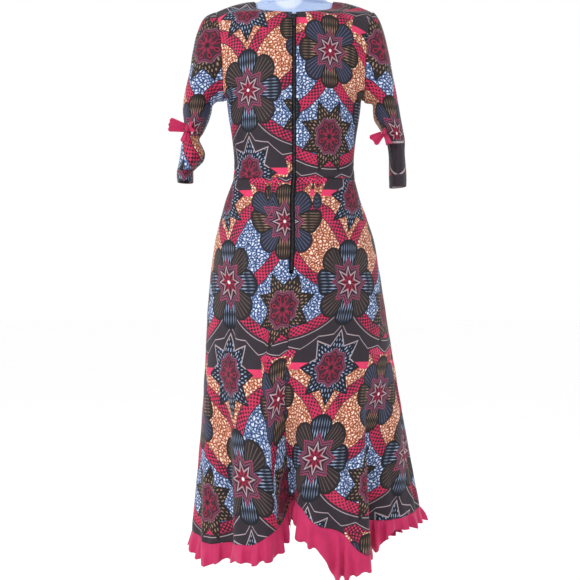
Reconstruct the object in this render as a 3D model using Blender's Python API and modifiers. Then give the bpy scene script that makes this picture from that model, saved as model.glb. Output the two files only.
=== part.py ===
"""A floor-length dress of printed cotton on a limbless dress form with a stand.

The dress has a fitted bodice with a back zip, sleeves caught in by bows, a flared
skirt that falls in deep folds, and a gathered ruffle on an uneven hem. Units are
metres, +Z is up, the dress's back faces -Y, and the origin is on the floor under the
middle of the stand's base. Left and right are the wearer's: left is at -X.
"""

import math
from collections import namedtuple

import bmesh
import bpy
import numpy as np
from mathutils import Vector

# Driving dimensions
CLOTH = 0.0015
WING_CLOTH = 0.0018
WING_TUCK = 0.00065
SEAM = 0.0004
SHOULDER_SEAM = 0.0008
SIDE_SEAM = 0.0008
SLEEVE_HEAD = 0.004
WAIST_Z = 1.054
ZIP_END_Z = 0.831
ZIP_OPENING = 0.011
SHOULDER_Y = 0.002
SKIRT_TOP_ROWS = (1.054, 1.005, 0.950, 0.895, 0.838, 0.826)
SKIRT_LOWER_ROWS = 6
PANEL_COLUMNS = {"front": 40, "back_left": 23, "back_right": 31}
RUFFLE_STEPS = 3
RUFFLE_WAVE = 0.036
RUFFLE_SWING = 0.0075
RUFFLE_END_GAP = 0.0010
TORSO_SIDES = 28
BASE_RADIUS = 0.160
BASE_HEIGHT = 0.008
POLE_RADIUS = 0.0095

# The skirt's outline with its folds smoothed out, section by section.
SkirtRow = namedtuple("SkirtRow", "height left right back front")
SKIRT_SECTIONS = (
    SkirtRow(1.054, -0.1455, 0.1455, 0.108, 0.108),
    SkirtRow(1.000, -0.165, 0.160, 0.129, 0.118),
    SkirtRow(0.915, -0.187, 0.190, 0.150, 0.133),
    SkirtRow(0.838, -0.199, 0.204, 0.162, 0.144),
    SkirtRow(0.704, -0.209, 0.225, 0.178, 0.164),
    SkirtRow(0.550, -0.216, 0.250, 0.196, 0.184),
    SkirtRow(0.397, -0.228, 0.278, 0.214, 0.204),
    SkirtRow(0.240, -0.243, 0.306, 0.232, 0.222),
    SkirtRow(0.060, -0.256, 0.330, 0.246, 0.236),
)

# Where the centre back seam runs, in degrees round the skirt: 0 is +X, 270 is -Y.
SeamPoint = namedtuple("SeamPoint", "height angle")
BACK_SEAM = (
    SeamPoint(1.054, 270.0),
    SeamPoint(0.831, 267.4),
    SeamPoint(0.695, 264.6),
    SeamPoint(0.574, 260.2),
    SeamPoint(0.430, 257.6),
    SeamPoint(0.060, 256.6),
)

# Troughs between the skirt's flutes: the angle where each starts and where it meets
# the hem, the height it starts at, its depth at the hem, and how far it reaches to
# each side of its line, in degrees.
Trough = namedtuple("Trough", "top_angle hem_angle top depth before after")
TROUGHS = (
    Trough(264.0, 256.9, 0.720, 0.095, 6.5, 7.5),
    Trough(316.0, 309.0, 0.660, 0.075, 5.0, 17.0),
    Trough(214.0, 220.0, 0.730, 0.045, 9.0, 8.0),
    Trough(341.0, 338.0, 0.520, 0.014, 8.0, 8.0),
    Trough(193.0, 196.0, 0.480, 0.014, 7.0, 7.0),
    Trough(236.0, 238.0, 0.440, 0.016, 7.0, 7.0),
    Trough(284.0, 283.0, 0.430, 0.020, 8.0, 8.0),
    Trough(22.0, 24.0, 0.640, 0.026, 10.0, 10.0),
    Trough(58.0, 55.0, 0.700, 0.032, 10.0, 10.0),
    Trough(92.0, 92.0, 0.620, 0.028, 9.0, 9.0),
    Trough(124.0, 127.0, 0.680, 0.032, 10.0, 10.0),
    Trough(160.0, 158.0, 0.600, 0.026, 9.0, 9.0),
)

# The height of the printed cloth's edge round the hem, where the ruffle starts, how
# deep the ruffle hangs there, and how far its lower edge stands out.
HemPoint = namedtuple("HemPoint", "angle height ruffle flare")
HEM = (
    HemPoint(0.0, 0.274, 0.034, 0.014),
    HemPoint(30.0, 0.240, 0.046, 0.008),
    HemPoint(55.0, 0.208, 0.050, 0.006),
    HemPoint(75.0, 0.228, 0.050, 0.004),
    HemPoint(92.0, 0.262, 0.048, 0.004),
    HemPoint(108.0, 0.228, 0.050, 0.004),
    HemPoint(132.0, 0.198, 0.050, 0.006),
    HemPoint(160.0, 0.206, 0.048, 0.008),
    HemPoint(184.0, 0.214, 0.034, 0.014),
    HemPoint(192.0, 0.210, 0.046, 0.011),
    HemPoint(209.0, 0.197, 0.050, 0.006),
    HemPoint(217.0, 0.203, 0.038, 0.004),
    HemPoint(224.0, 0.205, 0.044, 0.004),
    HemPoint(232.0, 0.206, 0.039, 0.004),
    HemPoint(241.5, 0.208, 0.046, 0.004),
    HemPoint(247.7, 0.224, 0.053, 0.004),
    HemPoint(251.0, 0.236, 0.060, 0.004),
    HemPoint(254.3, 0.262, 0.056, 0.003),
    HemPoint(256.9, 0.296, 0.040, 0.002),
    HemPoint(259.0, 0.304, 0.034, 0.002),
    HemPoint(262.0, 0.303, 0.044, 0.002),
    HemPoint(264.5, 0.298, 0.064, 0.003),
    HemPoint(267.7, 0.290, 0.072, 0.004),
    HemPoint(271.0, 0.270, 0.061, 0.004),
    HemPoint(275.8, 0.254, 0.060, 0.004),
    HemPoint(279.5, 0.249, 0.082, 0.006),
    HemPoint(283.0, 0.246, 0.108, 0.008),
    HemPoint(288.0, 0.235, 0.101, 0.008),
    HemPoint(292.5, 0.210, 0.070, 0.006),
    HemPoint(297.3, 0.188, 0.040, 0.005),
    HemPoint(301.5, 0.188, 0.038, 0.010),
    HemPoint(303.8, 0.204, 0.036, 0.006),
    HemPoint(306.2, 0.240, 0.056, 0.003),
    HemPoint(309.0, 0.254, 0.068, 0.003),
    HemPoint(318.0, 0.254, 0.068, 0.004),
    HemPoint(321.0, 0.254, 0.058, 0.004),
    HemPoint(324.0, 0.254, 0.034, 0.004),
    HemPoint(331.0, 0.256, 0.027, 0.006),
    HemPoint(345.0, 0.266, 0.034, 0.012),
)

# Half of the bodice, row by row from the waist to the shoulder seam. A row starts at
# the centre line or the neckline, ends at the side seam or the armhole, and bows
# between them by bend degrees. Row 4 is the underarm and row 9 the neck's low point.
BodiceRow = namedtuple("BodiceRow", "x0 y0 z0 x1 y1 z1 bend")
BACK_ROWS = (
    BodiceRow(0.000, -0.108, 1.054, 0.1455, 0.000, 1.054, 90),
    BodiceRow(0.000, -0.104, 1.100, 0.1435, 0.000, 1.100, 90),
    BodiceRow(0.000, -0.108, 1.150, 0.1480, 0.000, 1.150, 90),
    BodiceRow(0.000, -0.114, 1.200, 0.1560, 0.000, 1.200, 90),
    BodiceRow(0.000, -0.118, 1.244, 0.1620, 0.000, 1.244, 90),
    BodiceRow(0.000, -0.120, 1.285, 0.1670, -0.044, 1.262, 70),
    BodiceRow(0.000, -0.121, 1.325, 0.1690, -0.062, 1.305, 60),
    BodiceRow(0.000, -0.118, 1.365, 0.1710, -0.066, 1.350, 55),
    BodiceRow(0.000, -0.110, 1.405, 0.1750, -0.058, 1.395, 50),
    BodiceRow(0.000, -0.098, 1.441, 0.1800, -0.041, 1.426, 45),
    BodiceRow(0.050, -0.087, 1.446, 0.1840, -0.022, 1.444, 35),
    BodiceRow(0.086, -0.050, 1.457, 0.1853, -0.014, 1.4500, 27),
    BodiceRow(0.0915, -0.026, 1.4735, 0.1862, -0.008, 1.4535, 20),
    BodiceRow(0.0945, -0.010, 1.4798, 0.1868, -0.003, 1.4555, 16),
    BodiceRow(0.095, SHOULDER_Y, 1.481, 0.1870, SHOULDER_Y, 1.456, 15),
)
FRONT_ROWS = (
    BodiceRow(0.000, 0.108, 1.054, 0.1455, 0.000, 1.054, 90),
    BodiceRow(0.000, 0.106, 1.100, 0.1435, 0.000, 1.100, 90),
    BodiceRow(0.000, 0.115, 1.150, 0.1480, 0.000, 1.150, 90),
    BodiceRow(0.000, 0.126, 1.200, 0.1560, 0.000, 1.200, 90),
    BodiceRow(0.000, 0.131, 1.244, 0.1620, 0.000, 1.244, 90),
    BodiceRow(0.000, 0.129, 1.275, 0.1640, 0.040, 1.262, 68),
    BodiceRow(0.000, 0.122, 1.305, 0.1610, 0.058, 1.305, 58),
    BodiceRow(0.000, 0.114, 1.335, 0.1620, 0.061, 1.350, 52),
    BodiceRow(0.000, 0.106, 1.362, 0.1680, 0.054, 1.395, 46),
    BodiceRow(0.000, 0.098, 1.385, 0.1760, 0.039, 1.426, 40),
    BodiceRow(0.050, 0.090, 1.398, 0.1820, 0.023, 1.444, 32),
    BodiceRow(0.084, 0.058, 1.436, 0.1845, 0.016, 1.4500, 26),
    BodiceRow(0.0905, 0.030, 1.466, 0.1860, 0.0105, 1.4535, 20),
    BodiceRow(0.0942, 0.013, 1.4793, 0.1867, 0.006, 1.4555, 16),
    BodiceRow(0.095, SHOULDER_Y, 1.481, 0.1870, SHOULDER_Y, 1.456, 15),
)
UNDERARM, NECK_LOW = 4, 9
BODICE_LEVELS = (0, 1, 2, 3, 4, 4.5, 5.2, 6.2, 7.2, 8.2, 9, 10, 11, 12, 13, 14)
BODICE_COLUMNS = 8
BUST_FULLNESS = 0.012

# Sleeve rings from the armhole to the cuff seam: the outermost and the innermost
# point of each in X and Z, half its depth in Y, and the Y of its middle.
SleeveRing = namedtuple("SleeveRing", "outer_x outer_z inner_x inner_z depth y")
LEFT_SLEEVE = (
    SleeveRing(0.2150, 1.4430, 0.1700, 1.2425, 0.064, 0.000),
    SleeveRing(0.2315, 1.4090, 0.1770, 1.2425, 0.064, 0.000),
    SleeveRing(0.2425, 1.3660, 0.1845, 1.2415, 0.063, 0.000),
    SleeveRing(0.2500, 1.3150, 0.1905, 1.2380, 0.061, 0.002),
    SleeveRing(0.2625, 1.2650, 0.1960, 1.2310, 0.059, 0.003),
    SleeveRing(0.2670, 1.2250, 0.1985, 1.2150, 0.057, 0.004),
    SleeveRing(0.2650, 1.1940, 0.2060, 1.1930, 0.054, 0.005),
    SleeveRing(0.2640, 1.1690, 0.2190, 1.1690, 0.046, 0.006),
    SleeveRing(0.2660, 1.1510, 0.2290, 1.1520, 0.040, 0.006),
    SleeveRing(0.2710, 1.1350, 0.2200, 1.1340, 0.047, 0.007),
    SleeveRing(0.2740, 1.1160, 0.2135, 1.1170, 0.053, 0.008),
    SleeveRing(0.2765, 1.0980, 0.2185, 1.0990, 0.055, 0.009),
    SleeveRing(0.2790, 1.0860, 0.2330, 1.0850, 0.051, 0.010),
    SleeveRing(0.2810, 1.0770, 0.2425, 1.0760, 0.047, 0.010),
)
LEFT_CUFF = (
    SleeveRing(0.2814, 1.0762, 0.2425, 1.0752, 0.047, 0.010),
    SleeveRing(0.2818, 1.0620, 0.2420, 1.0620, 0.048, 0.010),
    SleeveRing(0.2800, 1.0490, 0.2425, 1.0480, 0.047, 0.011),
)
RIGHT_SLEEVE = (
    SleeveRing(0.2030, 1.4400, 0.1690, 1.2400, 0.064, 0.000),
    SleeveRing(0.2150, 1.4100, 0.1745, 1.2375, 0.064, 0.000),
    SleeveRing(0.2260, 1.3650, 0.1810, 1.2370, 0.063, 0.000),
    SleeveRing(0.2355, 1.3150, 0.1880, 1.2360, 0.061, 0.002),
    SleeveRing(0.2445, 1.2680, 0.1900, 1.2300, 0.059, 0.003),
    SleeveRing(0.2525, 1.2250, 0.1900, 1.2150, 0.057, 0.004),
    SleeveRing(0.2575, 1.1980, 0.1930, 1.1970, 0.055, 0.005),
    SleeveRing(0.2612, 1.1750, 0.2075, 1.1750, 0.050, 0.006),
    SleeveRing(0.2645, 1.1490, 0.2230, 1.1490, 0.043, 0.007),
    SleeveRing(0.2660, 1.1260, 0.2265, 1.1260, 0.046, 0.008),
    SleeveRing(0.2680, 1.1010, 0.2280, 1.1010, 0.049, 0.009),
    SleeveRing(0.2695, 1.0790, 0.2285, 1.0780, 0.051, 0.010),
    SleeveRing(0.2700, 1.0660, 0.2285, 1.0640, 0.052, 0.010),
)
RIGHT_CUFF = (
    SleeveRing(0.2702, 1.0655, 0.2285, 1.0635, 0.052, 0.010),
    SleeveRing(0.2705, 1.0520, 0.2288, 1.0495, 0.053, 0.010),
    SleeveRing(0.2700, 1.0390, 0.2292, 1.0360, 0.053, 0.011),
)

# Bow wings: which way each runs from the knot and how far, the width at its root and
# at its free edge, and how many soft pleats run down it.
Wing = namedtuple("Wing", "name along length across root_width end_width pleats")
LEFT_KNOT = (-0.2534, -0.0415, 1.1740)
LEFT_WINGS = (
    Wing("outer", (-0.97, -0.18, 0.18), 0.040, (0.12, 0.05, 0.99), 0.018, 0.034, 2.0),
    Wing("inner", (0.72, -0.66, 0.20), 0.015, (-0.20, 0.05, 0.97), 0.016, 0.028, 1.5),
    Wing("tail", (-0.16, -0.34, -0.92), 0.028, (0.96, -0.10, -0.20), 0.009, 0.020, 1.5),
)
RIGHT_KNOT = (0.2150, -0.0335, 1.1660)
RIGHT_WINGS = (
    Wing("outer", (0.30, -0.46, -0.84), 0.030, (0.94, -0.15, 0.30), 0.008, 0.016, 1.0),
    Wing("inner", (-0.72, -0.36, -0.60), 0.034, (-0.66, 0.05, 0.75), 0.011, 0.030, 2.0),
)
KNOT_RADII = (0.0050, 0.0060, 0.0090)

# The dress form's sections: half width, depth to the back and to the front, and the
# power of the rounded section, where 2 is an ellipse.
FormRow = namedtuple("FormRow", "height width back front power")
FORM_SECTIONS = (
    FormRow(0.7800, 0.148, 0.108, 0.098, 2.2),
    FormRow(0.8300, 0.165, 0.124, 0.110, 2.2),
    FormRow(0.8800, 0.169, 0.130, 0.114, 2.2),
    FormRow(0.9500, 0.162, 0.124, 0.111, 2.1),
    FormRow(1.0000, 0.150, 0.112, 0.104, 2.0),
    FormRow(1.0540, 0.138, 0.101, 0.101, 2.0),
    FormRow(1.1000, 0.136, 0.097, 0.099, 2.0),
    FormRow(1.1500, 0.141, 0.101, 0.108, 2.0),
    FormRow(1.2000, 0.148, 0.107, 0.118, 2.0),
    FormRow(1.2440, 0.152, 0.110, 0.122, 2.1),
    FormRow(1.2900, 0.154, 0.112, 0.118, 2.1),
    FormRow(1.3400, 0.155, 0.110, 0.106, 2.1),
    FormRow(1.3850, 0.156, 0.105, 0.0921, 2.2),
    FormRow(1.4050, 0.156, 0.102, 0.0817, 2.2),
    FormRow(1.4200, 0.156, 0.098, 0.0700, 2.2),
    FormRow(1.4320, 0.156, 0.094, 0.0623, 2.2),
    FormRow(1.4440, 0.156, 0.086, 0.0488, 2.1),
    FormRow(1.4540, 0.1555, 0.0674, 0.0427, 1.72),
    FormRow(1.4625, 0.1550, 0.0630, 0.0409, 1.34),
    FormRow(1.4705, 0.1395, 0.0575, 0.0349, 1.24),
    FormRow(1.4758, 0.1165, 0.0540, 0.0440, 1.10),
    FormRow(1.4790, 0.0915, 0.0510, 0.0460, 1.6),
    FormRow(1.4860, 0.0780, 0.0510, 0.0480, 1.8),
    FormRow(1.4950, 0.0680, 0.0500, 0.0500, 1.9),
    FormRow(1.5080, 0.0610, 0.0500, 0.0520, 2.0),
    FormRow(1.5300, 0.0560, 0.0500, 0.0540, 2.0),
    FormRow(1.5700, 0.0545, 0.0500, 0.0560, 2.0),
)

# Colours, as the base colour, roughness and metallic value of each finish.
Finish = namedtuple("Finish", "colour roughness metallic")
FINISHES = {
    "printed_cotton": Finish((0.10, 0.07, 0.10), 0.8, 0.0),
    "pink_cotton": Finish((0.78, 0.04, 0.22), 0.75, 0.0),
    "zip_tape": Finish((0.015, 0.014, 0.018), 0.8, 0.0),
    "zip_metal": Finish((0.03, 0.03, 0.035), 0.4, 0.6),
    "form_plastic": Finish((0.62, 0.74, 0.92), 0.25, 0.0),
    "stand_acrylic": Finish((0.90, 0.93, 0.95), 0.08, 0.0),
    "stand_steel": Finish((0.62, 0.63, 0.65), 0.35, 1.0),
}


def smooth_step(value):
    value = np.clip(value, 0.0, 1.0)
    return value * value * (3 - 2 * value)


def curve_through(knots, values, at, corner=None):
    """Value of a smooth curve through the knots; it may turn sharply at one knot."""
    knots = np.asarray(knots, float)
    values = np.asarray(values, float)
    at = np.asarray(at, float)
    if knots[0] > knots[-1]:
        knots, values = knots[::-1], values[::-1]
    if corner is not None:
        low, high = knots <= corner, knots >= corner
        return np.where(
            at <= corner,
            curve_through(knots[low], values[low], at),
            curve_through(knots[high], values[high], at),
        )
    at = np.clip(at, knots[0], knots[-1])
    gaps, rises = np.diff(knots), np.diff(values)
    steepness = rises / gaps
    slopes = np.concatenate(
        [steepness[:1], (steepness[:-1] + steepness[1:]) / 2, steepness[-1:]]
    )
    i = np.clip(np.searchsorted(knots, at) - 1, 0, len(gaps) - 1)
    t = (at - knots[i]) / gaps[i]
    return (
        values[i] * (1 + 2 * t) * (1 - t) ** 2
        + values[i + 1] * t * t * (3 - 2 * t)
        + gaps[i] * t * (1 - t) * (slopes[i] * (1 - t) - slopes[i + 1] * t)
    )


def column(table, name):
    return np.array([getattr(row, name) for row in table], float)


def angle_between(a, b):
    """The shortest way from angle b to angle a, in degrees."""
    return (a - b + 180) % 360 - 180


# The skirt's surface


def round_the_hem(name, angle):
    angles = column(HEM, "angle")
    values = column(HEM, name)
    knots = np.concatenate([angles[-2:] - 360, angles, angles[:2] + 360])
    values = np.concatenate([values[-2:], values, values[:2]])
    return curve_through(knots, values, np.asarray(angle) % 360)


def seam_angle(height):
    return curve_through(column(BACK_SEAM, "height"), column(BACK_SEAM, "angle"), height)


def skirt_point(angle, height):
    """A point of the skirt's outside at an angle in degrees and a height."""
    side = {
        name: curve_through(column(SKIRT_SECTIONS, "height"),
                            column(SKIRT_SECTIONS, name), height)
        for name in ("left", "right", "back", "front")
    }
    middle = (side["left"] + side["right"]) / 2
    width = (side["right"] - side["left"]) / 2
    turn = np.radians(angle)
    depth = np.where(np.sin(turn) < 0, side["back"], side["front"])
    x, y = width * np.cos(turn), depth * np.sin(turn)
    reach = np.hypot(x, y)
    inward = np.zeros_like(reach)
    for trough in TROUGHS:
        down = np.clip((trough.top - height) / (trough.top - 0.20), 0, 1.15)
        centre = trough.top_angle + (trough.hem_angle - trough.top_angle) * down
        off = angle_between(angle, centre)
        off = np.abs(off) / np.where(off < 0, trough.before, trough.after)
        inward += trough.depth * smooth_step(down) * np.exp(-(off**2.0))
    shrink = 1 - inward / reach
    return np.stack([middle + x * shrink, y * shrink, height + 0 * reach], axis=-1)


def skirt_angle(points):
    """The angle round the skirt, in degrees, of points on it."""
    x, y, height = points[..., 0], points[..., 1], points[..., 2]
    heights = column(SKIRT_SECTIONS, "height")
    left, right, back, front = (
        curve_through(heights, column(SKIRT_SECTIONS, name), height)
        for name in ("left", "right", "back", "front")
    )
    across = (x - (left + right) / 2) / ((right - left) / 2)
    return np.degrees(np.arctan2(y / np.where(y < 0, back, front), across)) % 360


def skirt_edges(panel, height):
    """The angles of a skirt panel's two edges at a height, with the seams' gaps."""
    seam = seam_angle(height)
    reach = np.linalg.norm(skirt_point(seam, height)[..., :2], axis=-1)
    opening = ZIP_OPENING * smooth_step((height - ZIP_END_Z + 0.010) / 0.012)
    back_gap = np.degrees(np.maximum(opening, SEAM) / 2 / reach)
    side_gap = np.degrees(SIDE_SEAM / 2 / 0.16) + 0 * seam
    if panel == "front":
        return side_gap, 180 - side_gap
    if panel == "back_left":
        return 180 + side_gap, seam - back_gap
    return seam + back_gap, 360 - side_gap


def even_shares(panel, count, fine=1200):
    """Shares of a panel's angle that space its columns evenly along the hem."""
    share = np.linspace(0, 1, fine)
    start, end = skirt_edges(panel, np.full(fine, 0.24))
    angle = start + (end - start) * share
    points = skirt_point(angle, np.full(fine, 0.24))
    run = np.linalg.norm(np.diff(points, axis=0), axis=1)
    run = np.concatenate([[0], np.cumsum(run)])
    return np.interp(np.linspace(0, run[-1], count), run, share)


def skirt_grid(panel):
    """Rows of points from the waist seam to the hem."""
    shares = even_shares(panel, PANEL_COLUMNS[panel] + 1)
    rough = {"front": (0, 180), "back_left": (180, 257), "back_right": (257, 360)}
    low, high = rough[panel]
    hem = round_the_hem("height", low + (high - low) * shares)
    fixed = np.array(SKIRT_TOP_ROWS)
    fixed[0] -= SEAM * 0.6
    down = np.linspace(0, 1, SKIRT_LOWER_ROWS + 1)[1:, None]
    height = np.concatenate([
        fixed[:, None] + 0 * hem[None, :],
        fixed[-1] + (hem[None, :] - fixed[-1]) * down,
    ])
    start, end = skirt_edges(panel, height)
    return skirt_point(start + (end - start) * shares[None, :], height)


# The bodice's surface


def bodice_point(rows, level, across):
    """A point of the bodice's right half: level counts table rows, across is 0 to 1."""
    index = np.arange(len(rows))
    corners = {"x0": NECK_LOW, "y0": NECK_LOW, "z0": NECK_LOW,
               "x1": UNDERARM, "y1": UNDERARM, "z1": UNDERARM, "bend": UNDERARM}
    row = {
        name: curve_through(index, column(rows, name), level, corner)
        for name, corner in corners.items()
    }
    bend = np.radians(row["bend"])
    over = np.sin(across * bend) / np.sin(bend)
    back = (1 - np.cos(across * bend)) / (1 - np.cos(bend))
    fall = across**1.7
    x = row["x0"] + (row["x1"] - row["x0"]) * over
    y = row["y0"] + (row["y1"] - row["y0"]) * back
    z = row["z0"] + (row["z1"] - row["z0"]) * fall
    if rows is FRONT_ROWS:
        y = y + BUST_FULLNESS * np.exp(
            -(((x - 0.074) / 0.040) ** 2) - ((z - 1.228) / 0.050) ** 2
        )
    return np.stack([x, y, z], axis=-1)


def bodice_grid(rows, first_x):
    """One half of the bodice; first_x is how far the centre edge is from X = 0."""
    level = np.array(BODICE_LEVELS, float)[:, None]
    across = np.linspace(0, 1, BODICE_COLUMNS + 1)[None, :]
    points = bodice_point(rows, level + 0 * across, across + 0 * level)
    points[0, :, 2] += SEAM * 0.6
    sign = -1 if rows is BACK_ROWS else 1
    points[-1, :, 1] += sign * SHOULDER_SEAM / 2
    points[: UNDERARM + 1, -1, 1] += sign * SIDE_SEAM / 2
    narrow = first_x * (1 - across[0]) * (points[:, 0, 0] < 1e-6)[:, None]
    points[:, :, 0] += narrow
    return points


def armhole():
    """The armhole's points on the right, from the shoulder over the back and under."""
    up = [level for level in BODICE_LEVELS if level >= UNDERARM]
    back = bodice_point(BACK_ROWS, np.array(up[::-1], float), np.ones(len(up)))
    front = bodice_point(FRONT_ROWS, np.array(up[1:-1], float), np.ones(len(up) - 2))
    return np.concatenate([back, front])


def sleeve_grid(rings, side):
    """Rings of a sleeve from the armhole down; side is -1 for left and 1 for right."""
    first = armhole()
    first[:, 0] += SEAM * 1.5
    ahead = np.roll(first, -1, axis=0) - first
    run = np.cumsum(np.linalg.norm(ahead, axis=1))
    turn = np.concatenate([[0], run[:-1]]) / run[-1] * 2 * np.pi
    grid = [first, first + np.array([SLEEVE_HEAD, 0, -SLEEVE_HEAD * 0.1])]
    for ring in rings:
        grid.append(sleeve_ring(ring, turn))
    points = np.array(grid)
    points[:, :, 0] *= side
    return points


def sleeve_ring(ring, turn):
    middle = np.array([ring.outer_x + ring.inner_x, 2 * ring.y, ring.outer_z + ring.inner_z]) / 2
    reach = np.array([ring.outer_x - ring.inner_x, 0, ring.outer_z - ring.inner_z]) / 2
    away = np.array([0, -ring.depth, 0])
    return middle + np.cos(turn)[:, None] * reach + np.sin(turn)[:, None] * away


def cuff_grid(rings, side, count):
    turn = np.arange(count) / count * 2 * np.pi
    points = np.array([sleeve_ring(ring, turn) for ring in rings])
    points[:, :, 0] *= side
    return points


# Making objects


def finish_material(name):
    material = bpy.data.materials.get(name)
    if material is None:
        material = bpy.data.materials.new(name)
        material.use_nodes = True
        shader = material.node_tree.nodes["Principled BSDF"]
        finish = FINISHES[name]
        shader.inputs["Base Color"].default_value = (*finish.colour, 1)
        shader.inputs["Roughness"].default_value = finish.roughness
        shader.inputs["Metallic"].default_value = finish.metallic
        material.diffuse_color = (*finish.colour, 1)
    return material


def new_object(name, vertices, faces, finish, collection):
    mesh = bpy.data.meshes.new(name)
    mesh.from_pydata([tuple(v) for v in vertices], [], faces)
    mesh.materials.append(finish_material(finish))
    thing = bpy.data.objects.new(name, mesh)
    collection.objects.link(thing)
    return thing


def move_to(collection, thing):
    for other in list(thing.users_collection):
        other.objects.unlink(thing)
    collection.objects.link(thing)


def grid_faces(rows, columns, closed=False):
    """Quads of a grid of points, joined round its columns when it is closed."""
    last = columns if closed else columns - 1
    return [
        (r * columns + c, (r + 1) * columns + c,
         (r + 1) * columns + (c + 1) % columns, r * columns + (c + 1) % columns)
        for r in range(rows - 1)
        for c in range(last)
    ]


def recalculate_outward(thing, outward):
    """Turns the faces so that the surface faces the way the function outward says."""
    mesh = thing.data
    score = sum(
        face.normal.dot(outward(face.center)) * face.area for face in mesh.polygons
    )
    if score < 0:
        mesh.flip_normals()


def cloth_wall(name, grid, finish, collection, outward, closed=False, thick=CLOTH):
    """A wall of cloth inside a grid of outer points."""
    rows, columns = grid.shape[:2]
    faces = grid_faces(rows, columns, closed)
    thing = new_object(name, grid.reshape(-1, 3), faces, finish, collection)
    recalculate_outward(thing, outward)
    wall = thing.modifiers.new("wall", "SOLIDIFY")
    wall.thickness = thick
    wall.offset = -1.0
    thing.data.shade_smooth()
    return thing


def away_from_axis(centre):
    """Outward for a wall that goes round the body's upright axis."""
    return centre.xy.to_3d()


def ring_solid(name, rings, finish, collection):
    """A closed solid through rings of points, with flat ends."""
    count = rings.shape[1]
    faces = grid_faces(len(rings), count, closed=True)
    faces.append(tuple(range(count)))
    faces.append(tuple((len(rings) - 1) * count + i for i in reversed(range(count))))
    thing = new_object(name, rings.reshape(-1, 3), faces, finish, collection)
    fix_normals(thing)
    return thing


def fix_normals(thing):
    work = bmesh.new()
    work.from_mesh(thing.data)
    bmesh.ops.recalc_face_normals(work, faces=work.faces)
    work.to_mesh(thing.data)
    work.free()


# The pieces


def build_skirt(collection):
    for panel in PANEL_COLUMNS:
        cloth_wall(f"skirt_{panel}", skirt_grid(panel), "printed_cotton", collection,
                   away_from_axis)


def ruffle_line():
    """The hem's edge all the way round, with the index where each length starts."""
    front = skirt_grid("front")[-1]
    middle = len(front) // 2
    lengths = (front[: middle + 1], front[middle:], skirt_grid("back_left")[-1],
               skirt_grid("back_right")[-1])
    line, starts = [], [0]
    for length in lengths:
        index = np.arange(len(length))
        at = np.linspace(0, index[-1], index[-1] * RUFFLE_STEPS + 1)
        fine = np.stack([curve_through(index, length[:, k], at) for k in range(3)], axis=1)
        line.append(fine)
        starts.append(starts[-1] + len(fine))
    return np.concatenate(line), starts


def ruffle_grid():
    """Three rows of a gathered strip below the hem's edge, with its waves."""
    top, starts = ruffle_line()
    ahead = np.roll(top, -1, axis=0) - top
    step = np.linalg.norm(ahead, axis=1)
    run = np.concatenate([[0], np.cumsum(step)[:-1]]) / step.sum()
    waves = round(step.sum() / RUFFLE_WAVE)
    behind = np.roll(top, 1, axis=0)
    along = np.roll(top, -1, axis=0) - behind
    level = np.maximum(np.linalg.norm(along[:, :2], axis=1), 1e-6)
    slope = along[:, 2] / level
    square = np.stack([along[:, 1], -along[:, 0], 0 * level], axis=1) / level[:, None]
    turning = np.linalg.norm(np.roll(square, -2, axis=0) - np.roll(square, 2, axis=0), axis=1)
    calm = 1 / (1 + (turning / 0.5) ** 2)
    angle = skirt_angle(top)
    depth, flare = round_the_hem("ruffle", angle), round_the_hem("flare", angle)
    wave = np.cos(2 * np.pi * (run * waves + 0.12 * np.sin(2 * np.pi * run * 9)))
    top = top.copy()
    top[:, 2] -= SEAM * np.sqrt(1 + slope**2) * 3
    rows = []
    for down in (0.0, 0.45, 1.0):
        swing = calm * (RUFFLE_SWING * wave * down**0.7 + flare * down)
        rows.append(top + square * swing[:, None])
        rows[-1][:, 2] -= depth * down * (1 + 0.05 * wave)
    return np.array(rows), starts


def build_ruffle(collection):
    """The gathered strip in four lengths, joined at the sides and the centres."""
    grid, starts = ruffle_grid()
    names = ("front_right", "front_left", "back_left", "back_right")
    for name, start, end in zip(names, starts[:-1], starts[1:]):
        part = grid[:, start:end].copy()
        for last, inner in ((0, 1), (-1, -2)):
            way = part[:, inner] - part[:, last]
            part[:, last] += way / np.linalg.norm(way, axis=1)[:, None] * RUFFLE_END_GAP
        cloth_wall(f"ruffle_{name}", part, "pink_cotton", collection, away_from_axis)


def build_bodice(collection):
    opening = ZIP_OPENING / 2
    back = bodice_grid(BACK_ROWS, opening)
    front = bodice_grid(FRONT_ROWS, 0.0)
    mirror = np.array([-1, 1, 1])
    cloth_wall("bodice_back_right", back, "printed_cotton", collection, away_from_axis)
    cloth_wall("bodice_back_left", back * mirror, "printed_cotton", collection,
               away_from_axis)
    build_front(front[:, ::-1] * mirror, front, collection)


def build_front(left, right, collection):
    """The front in one piece: its two halves part above the neckline's low point."""
    rows, columns = left.shape[:2]
    points = [*left.reshape(-1, 3), *right.reshape(-1, 3)]
    half = rows * columns
    faces = grid_faces(rows, columns)
    faces += [tuple(i + half for i in face) for face in grid_faces(rows, columns)]
    thing = new_object("bodice_front", points, faces, "printed_cotton", collection)
    work = bmesh.new()
    work.from_mesh(thing.data)
    bmesh.ops.remove_doubles(work, verts=work.verts, dist=1e-6)
    work.to_mesh(thing.data)
    work.free()
    recalculate_outward(thing, away_from_axis)
    wall = thing.modifiers.new("wall", "SOLIDIFY")
    wall.thickness = CLOTH
    wall.offset = -1.0
    thing.data.shade_smooth()


def build_sleeves(collection):
    for name, side, rings, cuff in (
        ("left", -1, LEFT_SLEEVE, LEFT_CUFF),
        ("right", 1, RIGHT_SLEEVE, RIGHT_CUFF),
    ):
        grid = sleeve_grid(rings, side)
        tube_wall(f"sleeve_{name}", grid, "printed_cotton", collection)
        tube_wall(f"cuff_{name}", cuff_grid(cuff, side, grid.shape[1]),
                  "printed_cotton", collection)


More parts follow.
